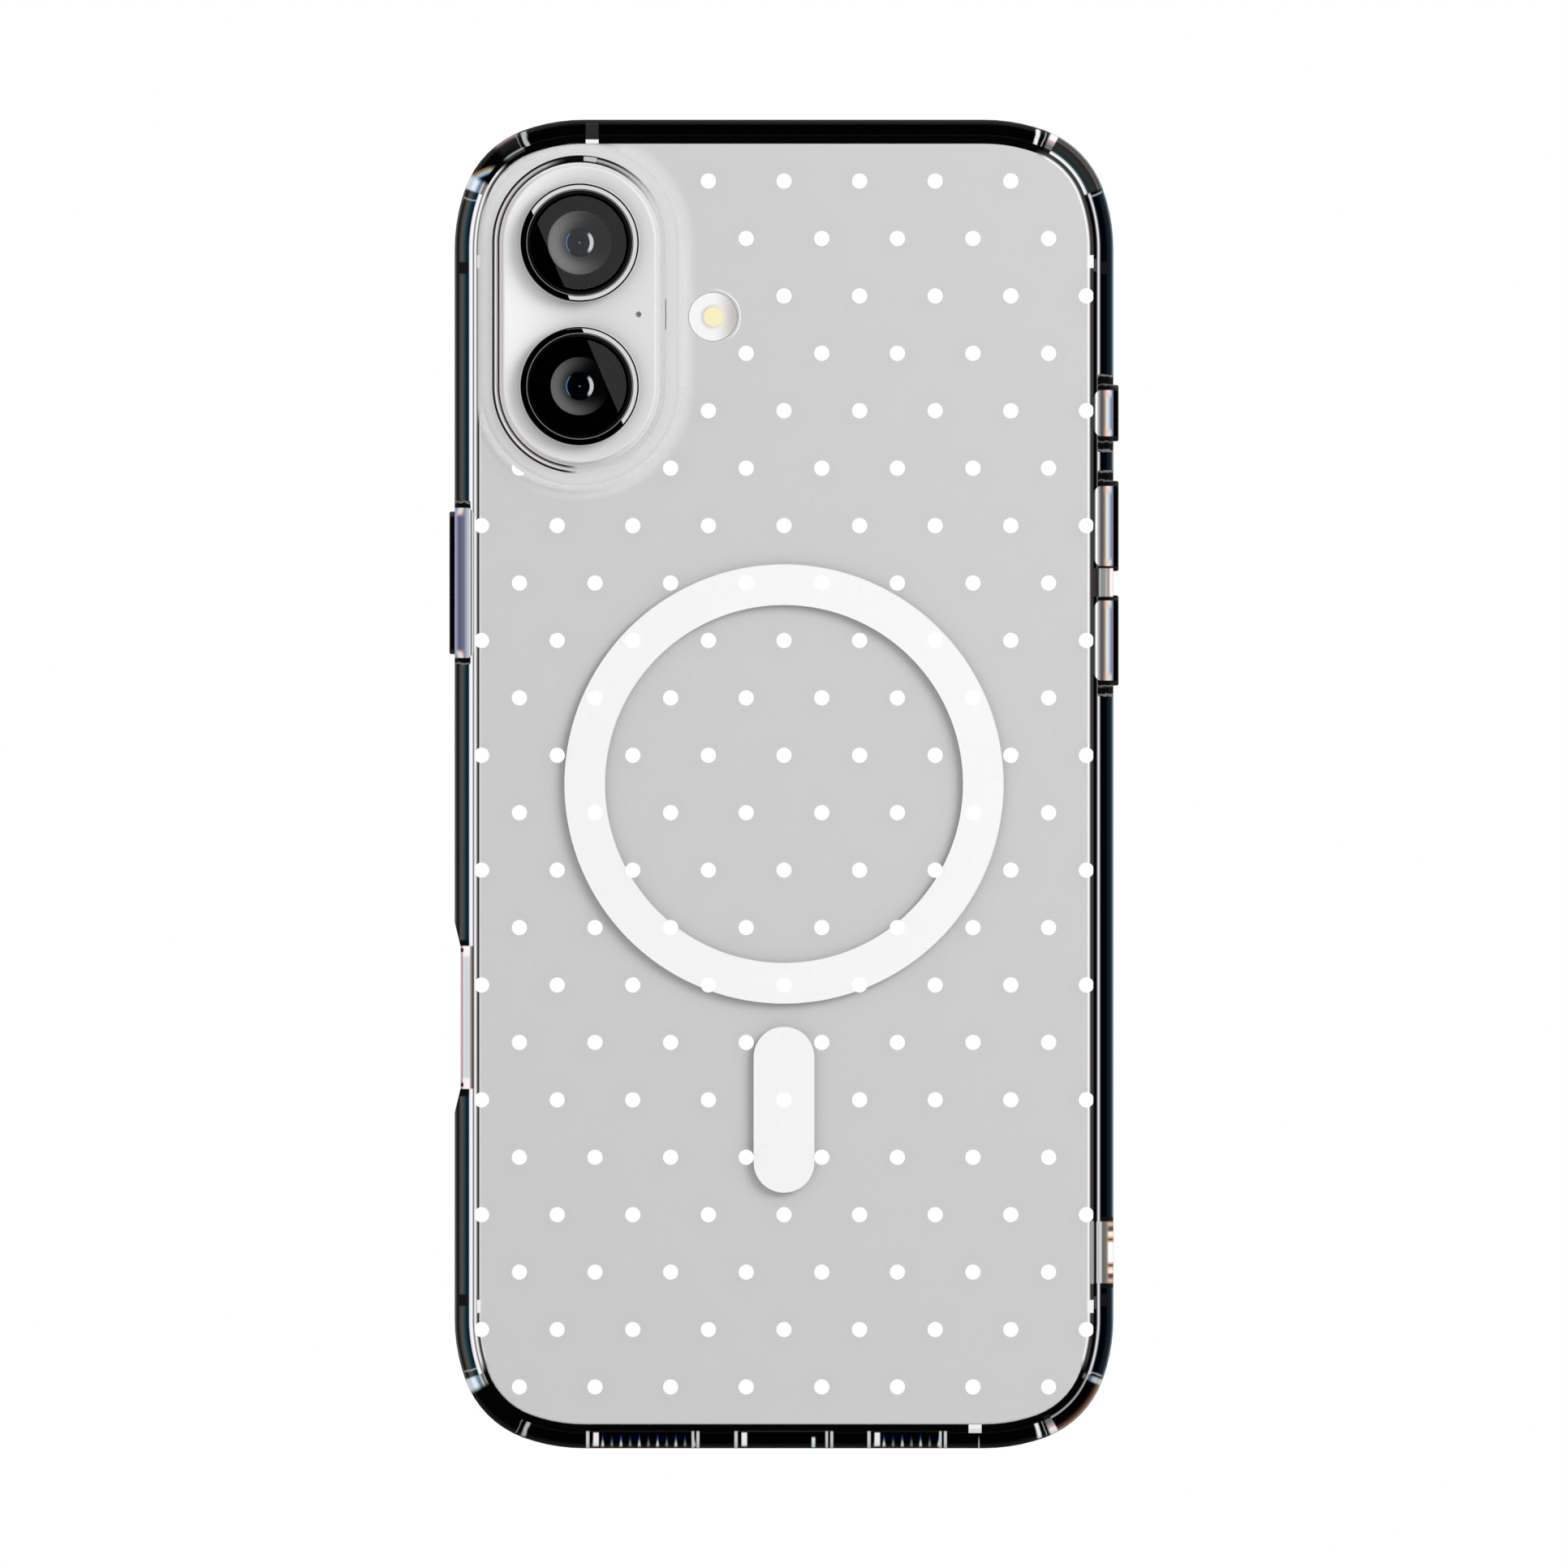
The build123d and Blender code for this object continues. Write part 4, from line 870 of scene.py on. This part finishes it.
def bottom_zone(t, inset, shade):
    """The walls of the plug and speaker openings: painted dark shade inside, painted highlights at
    their ends, and the painted light of the sound holes.
    """
    at_bottom = t.step(t.z, PHONE_LOW.z + 0.3 * MM, PHONE_LOW.z)
    deep = t.both(t.step(inset, 0.06 * MM, 0.2 * MM), t.step(inset, 2.0 * MM, 1.9 * MM), at_bottom)
    tall = t.both(t.step(inset, 0.02 * MM, 0.12 * MM), t.step(inset, 2.3 * MM, 2.1 * MM), at_bottom)
    speaker_low, speaker_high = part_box("speaker_mesh")
    for low, high, holes in (
        (speaker_low.x, LEFT_SPEAKER_END, True),
        (*PLUG_OPENING, False),
        (RIGHT_SPEAKER_END, speaker_high.x, True),
    ):
        opening = t.band(t.x, low, high, 0.05 * MM)
        inside = t.mul(opening, deep)
        # painted dark shade inside each opening
        shade = t.mix(inside, shade, "#010103")
        if holes:
            rays, streak = sound_rays(t, inset, low)
            shade = t.mix(t.mul(inside, rays), shade, streak)
        else:
            # a painted ray of light in the plug opening
            ray = t.mul(t.band(t.x, 3.45 * MM, 3.85 * MM, 0.12 * MM), t.step(inset, 1.5 * MM, 1.2 * MM))
            shade = t.mix(t.mul(inside, ray), shade, "#D4E4DC")
        # a painted highlight near the start of each opening
        block = t.both(t.band(t.x, low + 0.55 * MM, low + 1.2 * MM, 0.1 * MM), deep)
        shade = t.mix(t.mul(block, t.step(inset, 0.15 * MM, 0.4 * MM)), shade, "#EFE9E6")
        # painted pale highlight bars at the ends of each opening
        bars = t.either(
            t.band(t.x, low - 0.35 * MM, low + 0.05 * MM, 0.06 * MM),
            t.band(t.x, high - 0.65 * MM, high - 0.35 * MM, 0.08 * MM),
            t.band(t.x, high - 0.05 * MM, high + 0.3 * MM, 0.06 * MM),
        )
        shade = t.mix(t.both(bars, 0.85, tall), shade, "#D4D4D4")
        roof = t.both(opening, t.band(inset, 2.1 * MM, 2.2 * MM, 0.03 * MM), at_bottom)
        shade = t.mix(t.mul(roof, 0.25 if holes else 0.6), shade, "#6A6A6A")
    return shade


def band_marks(t, inset, shade):
    """The antenna bands, seen dimly through the wall."""
    up, on_top, right = t.from_middle(), t.on_top(), t.on_wall(1)
    below = t.invert(on_top)
    shown = t.step(inset, 0.3 * MM, 0.5 * MM)
    top = t.both(t.band(t.x, *TOP_BAND, 0.05 * MM), on_top, shown)
    shade = t.mix(t.mul(top, t.step(up, 60 * MM, 70 * MM)), shade, "#2B2B2B")
    side = t.both(t.band(up, *BAND_IN_WALL, 0.05 * MM), t.step(inset, 1.65 * MM, 1.55 * MM), shown)
    shade = t.mix(t.mul(side, t.either(right, t.on_wall(-1))), shade, "#17171B")
    behind = t.both(t.band(up, *BAND_BEHIND, 0.1 * MM), t.step(inset, 1.98 * MM, 2.05 * MM), right)
    shade = t.mix(behind, shade, "#464646")
    block = t.mul(t.band(t.x, *BOTTOM_BAND, 0.04 * MM), below)
    shade = t.mix(t.mul(block, t.step(inset, 1.85 * MM, 1.95 * MM)), shade, "#D8DADA")
    line = t.mul(t.band(t.x, *BOTTOM_LINE, 0.04 * MM), below)
    return t.mix(t.mul(line, t.step(inset, 1.7 * MM, 0.2 * MM)), shade, "#B0C4D0")


def pocket_lines(t, inset, turn, shade):
    """Thin lit walls beyond the ends of the air pockets."""
    on_right = t.on_right()
    across_wall = t.band(inset, 0.175 * MM, 2.025 * MM, 0.075 * MM)
    sway = t.mul(t.sub(t.noise(420), 0.5), radians(5))
    swayed = t.add(t.add(turn, sway), t.mul(t.invert(on_right), radians(3.5)))
    low_line = t.mul(t.band(swayed, radians(17.6), radians(18.6), radians(0.5)), 0.35)
    mid_line = t.mul(t.band(swayed, radians(68.2), radians(68.9), radians(0.4)), 0.4)
    high_line = t.either(t.band(swayed, radians(72), radians(74.6), radians(0.8)), mid_line)
    high_line = t.mul(high_line, t.math("MULTIPLY_ADD", on_right, 0.4, 0.55))
    return t.mix(t.mul(t.either(low_line, high_line), across_wall), shade, "#EDEEF0")


def button_windows(t, inset, shade):
    """Clear walls beside the buttons, with painted dark shade at the rounded ends and a little painted
    split light.
    """
    ripple = t.noise(1500)
    clear = window_colour(t, inset)
    # how far each window's clear part starts inside its dark ends
    for node, side, sink in (
        ("side_button_pad", -1, 0.0),
        ("action_button_pad", 1, 1.1 * MM),
        ("volume_down_pad", 1, 1.1 * MM),
        ("volume_up_pad", 1, 1.1 * MM),
    ):
        on_side = t.on_wall(side)
        rounding = t.math("MAXIMUM", t.sub(inset, 1.6 * MM), 0.0)
        rounding = t.mul(t.mul(rounding, rounding), 1.2 / MM)
        from_end = t.sub(end_distance(t, *between(node)), rounding)
        warped = t.add(from_end, t.mul(t.sub(ripple, 0.5), 0.8 * MM))
        # painted dark shade at each window's rounded ends, crossed by two faint painted pale lines
        outer_line = t.mul(t.band(warped, -0.85 * MM, -0.6 * MM, 0.1 * MM), 0.35)
        inner_line = t.mul(t.band(warped, sink - 0.75 * MM, sink - 0.6 * MM, 0.08 * MM), 0.25)
        ends = t.mix(t.either(outer_line, inner_line), "#0B0B0E", "#BDB9B4")
        wide = t.mul(t.step(from_end, -0.95 * MM, -0.85 * MM), on_side)
        shade = t.mix(t.mul(wide, t.step(inset, 2.05 * MM, 1.9 * MM)), shade, ends)
        inside = t.mul(t.step(from_end, sink - 0.06 * MM, sink + 0.06 * MM), on_side)
        shade = t.mix(inside, shade, clear)
        # a painted glint of split light near each window's end
        glint = t.both(
            inside,
            t.step(from_end, sink + 1.2 * MM, sink + 0.5 * MM),
            t.step(inset, 0.1 * MM, 0.3 * MM),
            t.step(inset, 1.35 * MM, 0.95 * MM),
        )
        lit = t.ramp(
            t.add(inset, t.mul(from_end, 0.35)),
            [(0.3, "#8A9AE0"), (0.6, "#FFFFFF"), (1.0, "#FFF4EA"), (1.25, "#E8A070")],
        )
        shade = t.mix(t.mul(glint, 0.75 if side < 0 else 0.35), shade, lit)
    return shade


def make_bumper():
    t = new_tree("bumper")
    inset = outline_inset(t, *BUMPER_OUTLINE)
    turn = corner_turn(t, *BUMPER_OUTLINE)
    soft = radians(1)
    at_side = t.step(turn, POCKET[0] + soft, POCKET[0] - soft)
    shade = t.mix(at_side, edge_colour(t, inset), wall_colour(t, inset))
    shade = t.mix(t.band(turn, *POCKET, soft), shade, corner_colour(t, inset, turn))
    shade = pocket_lines(t, inset, turn, shade)
    shade = button_windows(t, inset, shade)
    gap_low, gap_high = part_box("volume_down_pad")[1].z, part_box("volume_up_pad")[0].z
    gap = t.mul(t.band(t.z, gap_low - 0.6 * MM, gap_high + 0.8 * MM, 0.1 * MM), t.on_wall(1))
    shade = t.mix(gap, shade, gap_colour(t, inset))
    for zone in (control_zone, strap_zone, bottom_zone, band_marks):
        shade = zone(t, inset, shade)
    # only the rim on the back shows the lines; the sides are plain
    side_face = t.step(t.sub(t.y, BUMPER_LOW.y), *BARE_RIM)
    body = t.mix(side_face, shade, t.mix(t.noise(2500), "#101013", "#17171A"))
    rough = t.math("MULTIPLY_ADD", t.noise(700), 0.05, 0.05)
    return t.finish(t.casting_nothing(t.principled(body, rough=rough, specular=0.2)))


def make_clear_guard():
    t = new_tree("clear_guard")
    r, across = guard_distance(t)
    lift = t.math("MAXIMUM", t.sub(t.sub(t.z, GUARD_Z), GUARD_STRAIGHT), 0.0)
    u, v = t.math("DIVIDE", across, r), t.math("DIVIDE", lift, r)
    left = t.step(u, 0.0, -0.2)
    crown = t.mul(t.step(v, 0.25, 0.55), t.step(u, 0.98, 0.3))
    lined = t.either(left, crown)
    # two painted dark lines of shade, with painted coloured fringes, where the mouth slopes; they lie
    # on the left and across the top
    lines = t.ramp(
        r,
        [
            (9.9, "#050505"),
            (10.06, "#0A0808"),
            (10.16, "#8A6A62"),
            (10.3, "#B4B8BE"),
            (10.45, "#E6ECF6"),
            (10.58, "#7E7468"),
            (10.66, "#0A0A0A"),
            (10.8, "#0A0A0A"),
        ],
    )
    lines = t.mix(t.mul(t.step(v, 0.9, 0.99), t.step(u, 0.25, 0.05)), lines, "#141210")
    # a painted white highlight on a short piece of the mouth, at the top a little right of the middle
    white_piece = t.both(t.band(u, 0.05, 0.2, 0.01), t.step(v, 0.5, 0.7))
    lines = t.mix(t.mul(white_piece, t.band(r, 10.15 * MM, 10.7 * MM, 0.02 * MM)), lines, "#F4F6F6")
    line_share = t.mul(lined, t.band(r, *MOUTH_LINES, 0.03 * MM))
    # pale light on the right, along the mouth and along the outer edge
    right = t.step(u, 0.1, 0.5)
    over_glass = t.step(outline_inset(t, *GLASS_OUTLINE), 0.0, 0.6 * MM)
    pale = t.both(t.band(r, *MOUTH_GLINT, 0.15 * MM), right, 0.3)
    fade = t.math("MULTIPLY_ADD", t.step(r, 11.7 * MM, 12.2 * MM), -0.1, 0.16)
    rim = t.both(t.step(r, 9.8 * MM, 10.0 * MM), over_glass, fade)
    gloss = t.mul(t.gloss_share(), t.step(r, 11.6 * MM, 11.2 * MM))
    tint = t.mix(t.upright(0.45, 0.15), "#FEFEFE", "#EEF1F2")
    body = t.blend(gloss, t.transparent(tint), t.mirror(0.04))
    body = t.blend(t.either(pale, rim), body, t.paint("#E8E9E9", 0.3))
    # a thin painted dark line of shade on the right, where the mouth's wall stands edge on
    low, high = GUARD_Z - MOUTH_HAIR_REACH, GUARD_Z + MOUTH_HAIR_REACH
    hair = t.mul(t.band(t.z, low, high, 0.05 * MM), t.band(across, *MOUTH_HAIR, 0.02 * MM))
    body = t.blend(t.mul(hair, 0.8), body, t.paint("#2A2A2A"))
    return t.finish(t.casting_nothing(t.blend(line_share, body, t.paint(lines, 0.3))))


def make_plain(name, base, rough, metallic=0.0, grain=0.0, scale=800, specular=0.5):
    t = new_tree(name)
    shade = colour(base)
    if grain:
        dark = tuple(part * (1 - grain) for part in shade[:3]) + (1.0,)
        shade = t.mix(t.noise(scale, 6.0), dark, shade)
    normal = t.bump(t.noise(scale * 2, 5.0), 0.08) if grain else None
    return t.finish(t.principled(shade, rough, metallic, normal=normal, specular=specular))


def make_back_glass():
    t = new_tree("back_glass")
    grain = t.noise(6000, 2.0)
    shade = t.mix(grain, "#CECECE", "#D2D2D2")
    # the camera island is whiter; towards its left it is painted lighter still, painted light against
    # the shade there
    r, across = guard_distance(t)
    lit = t.mix(t.step(across, 4 * MM, -9 * MM), "#DCDCDC", "#F2F2F2")
    shade = t.mix(t.step(r, *ISLAND_EDGE), shade, lit)
    return t.finish(t.principled(shade, rough=0.28, specular=0.3))


def make_frame_metal():
    t = new_tree("frame_metal")
    brushed = t.noise(5000, 4.0)
    shade = t.mix(brushed, "#A4A6A9", "#B4B6B9")
    return t.finish(t.principled(shade, rough=0.35, metallic=0.4, specular=0.3))


def lens_radius(t):
    """Distance from the nearer lens axis, its two parts, and 1 at the upper, wide lens."""
    x, wide_z = middle("wide_lens_window")
    ultra_z = middle("ultrawide_lens_window")[1]
    wide = t.math("GREATER_THAN", t.z, (wide_z + ultra_z) / 2)
    height = t.add(ultra_z, t.mul(wide, wide_z - ultra_z))
    dx, dz = t.sub(t.x, x), t.sub(t.z, height)
    return t.length(dx, dz), dx, dz, wide


def make_lens_ring():
    t = new_tree("lens_ring")
    r = lens_radius(t)[0]
    face = t.step(t.y, RING_TOP_Y + 0.4 * MM, RING_TOP_Y + 0.25 * MM)
    # painted highlights: a pale outer edge of the ring and a faint pale line on its face
    pale = t.either(t.step(r, *RING_EDGE), t.mul(t.band(r, *RING_LINE, 0.02 * MM), 0.35))
    shade = t.mix(t.mul(pale, face), "#060607", "#D8D8D8")
    body = t.principled(shade, rough=0.18, specular=0.2)
    polished = t.mul(t.band(r, *RING_POLISH, 0.02 * MM), face)
    return t.finish(t.blend(polished, body, t.mirror()))


def make_lens_window():
    t = new_tree("lens_window")
    border = t.step(lens_radius(t)[0], *WINDOW_BORDER)
    tint = t.mix(border, "#EAEAEA", "#000000")
    share = t.mul(t.gloss_share(1.52), t.invert(border))
    return t.finish(t.blend(share, t.transparent(tint), t.mirror()))


def make_camera_body():
    """Black, with a painted grey sheen on the cone around each lens, brightest at its lower left."""
    t = new_tree("camera_body")
    r, dx, dz, wide = lens_radius(t)
    lean = t.math("DIVIDE", t.add(t.mul(dx, -1.0), t.mul(dz, -0.25)), r)
    rim_r = t.math("MULTIPLY_ADD", wide, WIDE_CONE_MORE, CONE_END)
    in_cone = t.mul(t.step(r, *CONE_START), t.step(t.sub(r, rim_r), 0.04 * MM, -0.04 * MM))
    painted_sheen = t.mul(t.step(lean, -0.9, 1.0), t.step(r, 1.2 * MM, 3.2 * MM))
    painted_sheen = t.mul(painted_sheen, t.math("MULTIPLY_ADD", wide, 0.1, 0.62))
    painted_sheen = t.add(painted_sheen, t.math("MULTIPLY_ADD", wide, 0.06, 0.01))
    shade = t.mix(t.mul(painted_sheen, in_cone), "#020203", "#B4B4B4")
    front = t.mul(t.step(t.y, -2.6 * MM, -3.0 * MM), in_cone)
    return t.finish(t.paint(t.mix(front, "#030303", shade), 0.5))


def make_lens_glass():
    """Dark glass with painted reflections that glow: a blue crescent on its left, a white one on its
    right and a small dot in the middle.
    """
    t = new_tree("lens_glass")
    r, dx, dz, wide = lens_radius(t)
    right_moon = t.length(t.add(dx, 0.44 * MM), dz)
    left_moon = t.length(t.sub(dx, 0.13 * MM), dz)
    inside = t.step(r, 1.76 * MM, 1.7 * MM)
    lean = t.math("DIVIDE", dx, r)
    right = t.both(inside, t.step(right_moon, 1.66 * MM, 1.74 * MM), t.step(lean, 0.6, 0.85))
    left = t.both(inside, t.step(left_moon, 1.64 * MM, 1.72 * MM), t.step(lean, -0.6, -0.85))
    deep = t.mix(wide, "#04070B", "#2A3036")
    shade = t.mix(t.step(r, 0.3 * MM, 1.5 * MM), t.mix(wide, "#020304", "#20262C"), deep)
    body = t.principled(shade, rough=0.1, specular=0.0)
    body = t.blend(left, body, t.glow("#5686BE"))
    body = t.blend(right, body, t.glow("#E6F0FA"))
    return t.finish(t.blend(t.step(r, 0.14 * MM, 0.06 * MM), body, t.glow("#7FA0B8")))


def make_flash_lens():
    t = new_tree("flash_lens")
    flash_x, flash_z = middle("flash_lens")
    dx, dz = t.sub(t.x, flash_x), t.sub(t.z, flash_z)
    r = t.length(dx, dz)
    lean = t.math("DIVIDE", dx, 3 * MM)
    # the dish is painted darker towards its right, painted shade
    dish = t.mix(t.step(lean, 0.0, 1.0), "#F0F0F0", "#BDB9B4")
    # a painted soft shadow on the left of the ring around the LED
    halo = t.mix(t.step(lean, 0.3, -0.4), "#E9DFC8", "#CFCBC6")
    shade = t.mix(t.step(r, 1.75 * MM, 1.25 * MM), dish, halo)
    shade = t.mix(t.step(r, 1.3 * MM, 1.05 * MM), shade, "#F4EABF")
    normal = t.bump(t.wave(r, 0.3 * MM), 0.05)
    return t.finish(t.principled(shade, rough=0.3, specular=0.2, normal=normal))


def make_mesh():
    t = new_tree("mesh")
    weave = t.mul(t.wave(t.x, WEAVE_PITCH), t.wave(t.z, WEAVE_PITCH))
    shade = t.mix(t.step(weave, -0.2, 0.3), "#0C0C0D", "#3C3C3E")
    # the rear microphone's hole is paler
    mic_x, mic_z = middle("rear_microphone")
    from_mic = t.length(t.sub(t.x, mic_x), t.sub(t.z, mic_z))
    eye = t.mix(t.step(from_mic, 0.18 * MM, 0.3 * MM), "#7C7C7C", "#D0D0D0")
    shade = t.mix(t.step(t.y, -3.2 * MM, -3.4 * MM), shade, eye)
    return t.finish(t.principled(shade, rough=0.5, specular=0.2))


MAKERS = {
    "clear_plate": make_clear_plate,
    "lens_window": make_lens_window,
    "camera_body": make_camera_body,
    "lens_glass": make_lens_glass,
    "flash_lens": make_flash_lens,
    "mesh": make_mesh,
    "bumper": make_bumper,
    "clear_guard": make_clear_guard,
    "back_glass": make_back_glass,
    "frame_metal": make_frame_metal,
    "lens_ring": make_lens_ring,
}
# colour, roughness, metallic share, depth of the grain and its scale
PLAIN = {
    "clear_pad": ("#D8DADC", 0.1, 0.0, 0.02, 900),
    "button_cap": ("#020202", 0.18, 0.0, 0.1, 1500),
    "white_film": ("#FAFAFA", 0.45, 0.0, 0.01, 2500),
    "magnet": ("#8E8C88", 0.35, 1.0, 0.1, 2000),
    "band_plastic": ("#F2F2F2", 0.4, 0.0, 0.02, 2500),
    "display_glass": ("#07080A", 0.05, 0.0, 0.0, 800),
    "display_panel": ("#040405", 0.25, 0.0, 0.1, 3000),
    "flash_led": ("#E9CF63", 0.5, 0.0, 0.05, 1500),
    "circuit_board": ("#123524", 0.45, 0.0, 0.2, 2500),
    "shield_metal": ("#A9A9A6", 0.35, 1.0, 0.1, 2500),
    "battery_foil": ("#1C1D1F", 0.4, 0.0, 0.1, 1200),
    "copper_coil": ("#B4683A", 0.35, 1.0, 0.2, 3000),
    "module_plastic": ("#161617", 0.45, 0.0, 0.2, 2000),
    "dense_metal": ("#6C6A66", 0.35, 1.0, 0.2, 2000),
    "port_metal": ("#3C3C3E", 0.3, 1.0, 0.1, 2500),
    "key_metal": ("#B0B2B5", 0.3, 0.4, 0.05, 3000),
}

materials = {name: maker() for name, maker in MAKERS.items()}
for name, values in PLAIN.items():
    materials[name] = make_plain(name, *values)

for thing in nodes.values():
    for place in thing.material_slots:
        place.material = materials[place.material.name.split(".")[0]]


# ================= Printed dots =================
def add_object(name, data):
    thing = bpy.data.objects.new(name, data)
    bpy.context.collection.objects.link(thing)
    return thing


def dot_centres():
    """Centres of the staggered rows, left out near the plate's sides, at the ends of the top row and
    around the flash hole.
    """
    flash_x, flash_z = middle("flash_lens")
    for row in range(DOT_ROWS):
        z = Z_MID + ((DOT_ROWS - 1) / 2 - row) * DOT_ROW
        for step in range(-DOT_STEPS, DOT_STEPS + 1):
            x = (step + 0.5 * (row % 2)) * DOT_PITCH
            if abs(x) > PLATE_HIGH.x - DOT_MARGIN:
                continue
            if row == 0 and abs(x) > TOP_ROW_REACH:
                continue
            if (x - flash_x) ** 2 + (z - flash_z) ** 2 < FLASH_CLEAR**2:
                continue
            yield x, z


def guard_push(x, z, edge=0.15 * MM):
    """Moves a point that lies in the guard's pill out to its edge."""
    nearest = GUARD_Z + max(-GUARD_STRAIGHT, min(GUARD_STRAIGHT, z - GUARD_Z))
    away = Vector((x - GUARD_X, z - nearest))
    if away.length >= GUARD_R - edge:
        return x, z
    out = away.normalized() * (GUARD_R - edge)
    return GUARD_X + out.x, nearest + out.y


def printed_dots():
    mesh = bmesh.new()
    face_y = PLATE_LOW.y - DOT_T
    root_y = PLATE_LOW.y + DOT_ROOT
    limit = PLATE_HIGH.x - DOT_CUT
    for x, z in dot_centres():
        if guard_push(x, z, 0.35 * MM) != (x, z):
            continue
        rim = []
        for i in range(DOT_SEGMENTS):
            angle = 2 * pi * i / DOT_SEGMENTS
            px, pz = guard_push(x + DOT_R * cos(angle), z + DOT_R * sin(angle))
            rim.append((max(-limit, min(limit, px)), pz))
        top = [mesh.verts.new((px, face_y, pz)) for px, pz in rim]
        root = [mesh.verts.new((px, root_y, pz)) for px, pz in rim]
        mesh.faces.new(top)
        for i in range(DOT_SEGMENTS):
            j = (i + 1) % DOT_SEGMENTS
            mesh.faces.new((top[i], root[i], root[j], top[j]))
    bmesh.ops.recalc_face_normals(mesh, faces=mesh.faces)
    data = bpy.data.meshes.new("printed_dots")
    mesh.to_mesh(data)
    mesh.free()
    thing = add_object("printed_dots", data)
    data.materials.append(make_plain("dot_ink", "#FFFFFF", 0.5, 0.0, 0.005, 3000, 0.2))
    thing.visible_shadow = False
    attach(thing, "case")


def ease_film(node):
    """Draws a thin film in from the pocket that it fills, so that their faces don't meet."""
    easing = nodes[node].modifiers.new("ease", "DISPLACE")
    easing.strength = -0.015 * MM
    easing.mid_level = 0.0


printed_dots()
ease_film("magnet_ring_cover")
ease_film("alignment_cover")


# ================= Studio =================
def make_world():
    """White to the camera; in reflections dark behind, with light from the sides and above."""
    world = bpy.data.worlds.new("studio")
    bpy.context.scene.world = world
    world.use_nodes = True
    t = Tree(world, "ShaderNodeOutputWorld", "Generated")
    aside = t.step(t.math("ABSOLUTE", t.y), 0.88, 0.5)
    overhead = t.step(t.z, 0.1, 0.6)
    studio = t.mul(aside, t.math("MULTIPLY_ADD", overhead, 0.6, 0.4))
    rays = t.rays()
    shader = t.blend(rays["Is Glossy Ray"], t.background(FILL), t.background(studio))
    shader = t.blend(rays["Is Transmission Ray"], shader, t.background(1.0))
    t.finish(t.blend(rays["Is Camera Ray"], shader, t.background(1.0)))


def soft_lamp(name, place):
    data = bpy.data.lights.new(name, "AREA")
    data.energy = LAMP_POWER
    data.size = LAMP_SIZE
    lamp = add_object(name, data)
    lamp.location = place
    aim = Vector((0, 0, Z_MID)) - Vector(place)
    lamp.rotation_euler = aim.to_track_quat("-Z", "Y").to_euler()
    lamp.visible_camera = False
    lamp.visible_glossy = False


def lens_card():
    """A white card that the lenses reflect, with a slanting edge on its left."""
    left_top, left_bottom, right = -33.39 * MM, -17.98 * MM, -17.0 * MM
    top, bottom = Z_MID + 76 * MM, Z_MID + 40 * MM
    points = [(left_top, top), (right, top), (right, bottom), (left_bottom, bottom)]
    data = bpy.data.meshes.new("lens_card")
    data.from_pydata([(x, CARD_Y, z) for x, z in points], [], [(0, 1, 2, 3)])
    card = add_object("lens_card", data)
    t = new_tree("card_white")
    data.materials.append(t.finish(t.glow("#FFFFFF", CARD_GLOW)))
    card.visible_camera = False
    card.visible_diffuse = False
    card.visible_transmission = False
    card.visible_shadow = False


make_world()
soft_lamp("key_lamp", (0.55, -0.5, Z_MID + 0.35))
soft_lamp("rear_lamp", (-0.5, 0.6, Z_MID + 0.3))
lens_card()

view = bpy.data.cameras.new("camera")
view.type = "ORTHO"
view.ortho_scale = VIEW_SIZE
camera = add_object("camera", view)
camera.location = (0, -1, Z_MID)
camera.rotation_euler = (pi / 2, 0, 0)
bpy.context.scene.camera = camera
bpy.context.scene.view_settings.view_transform = "Standard"
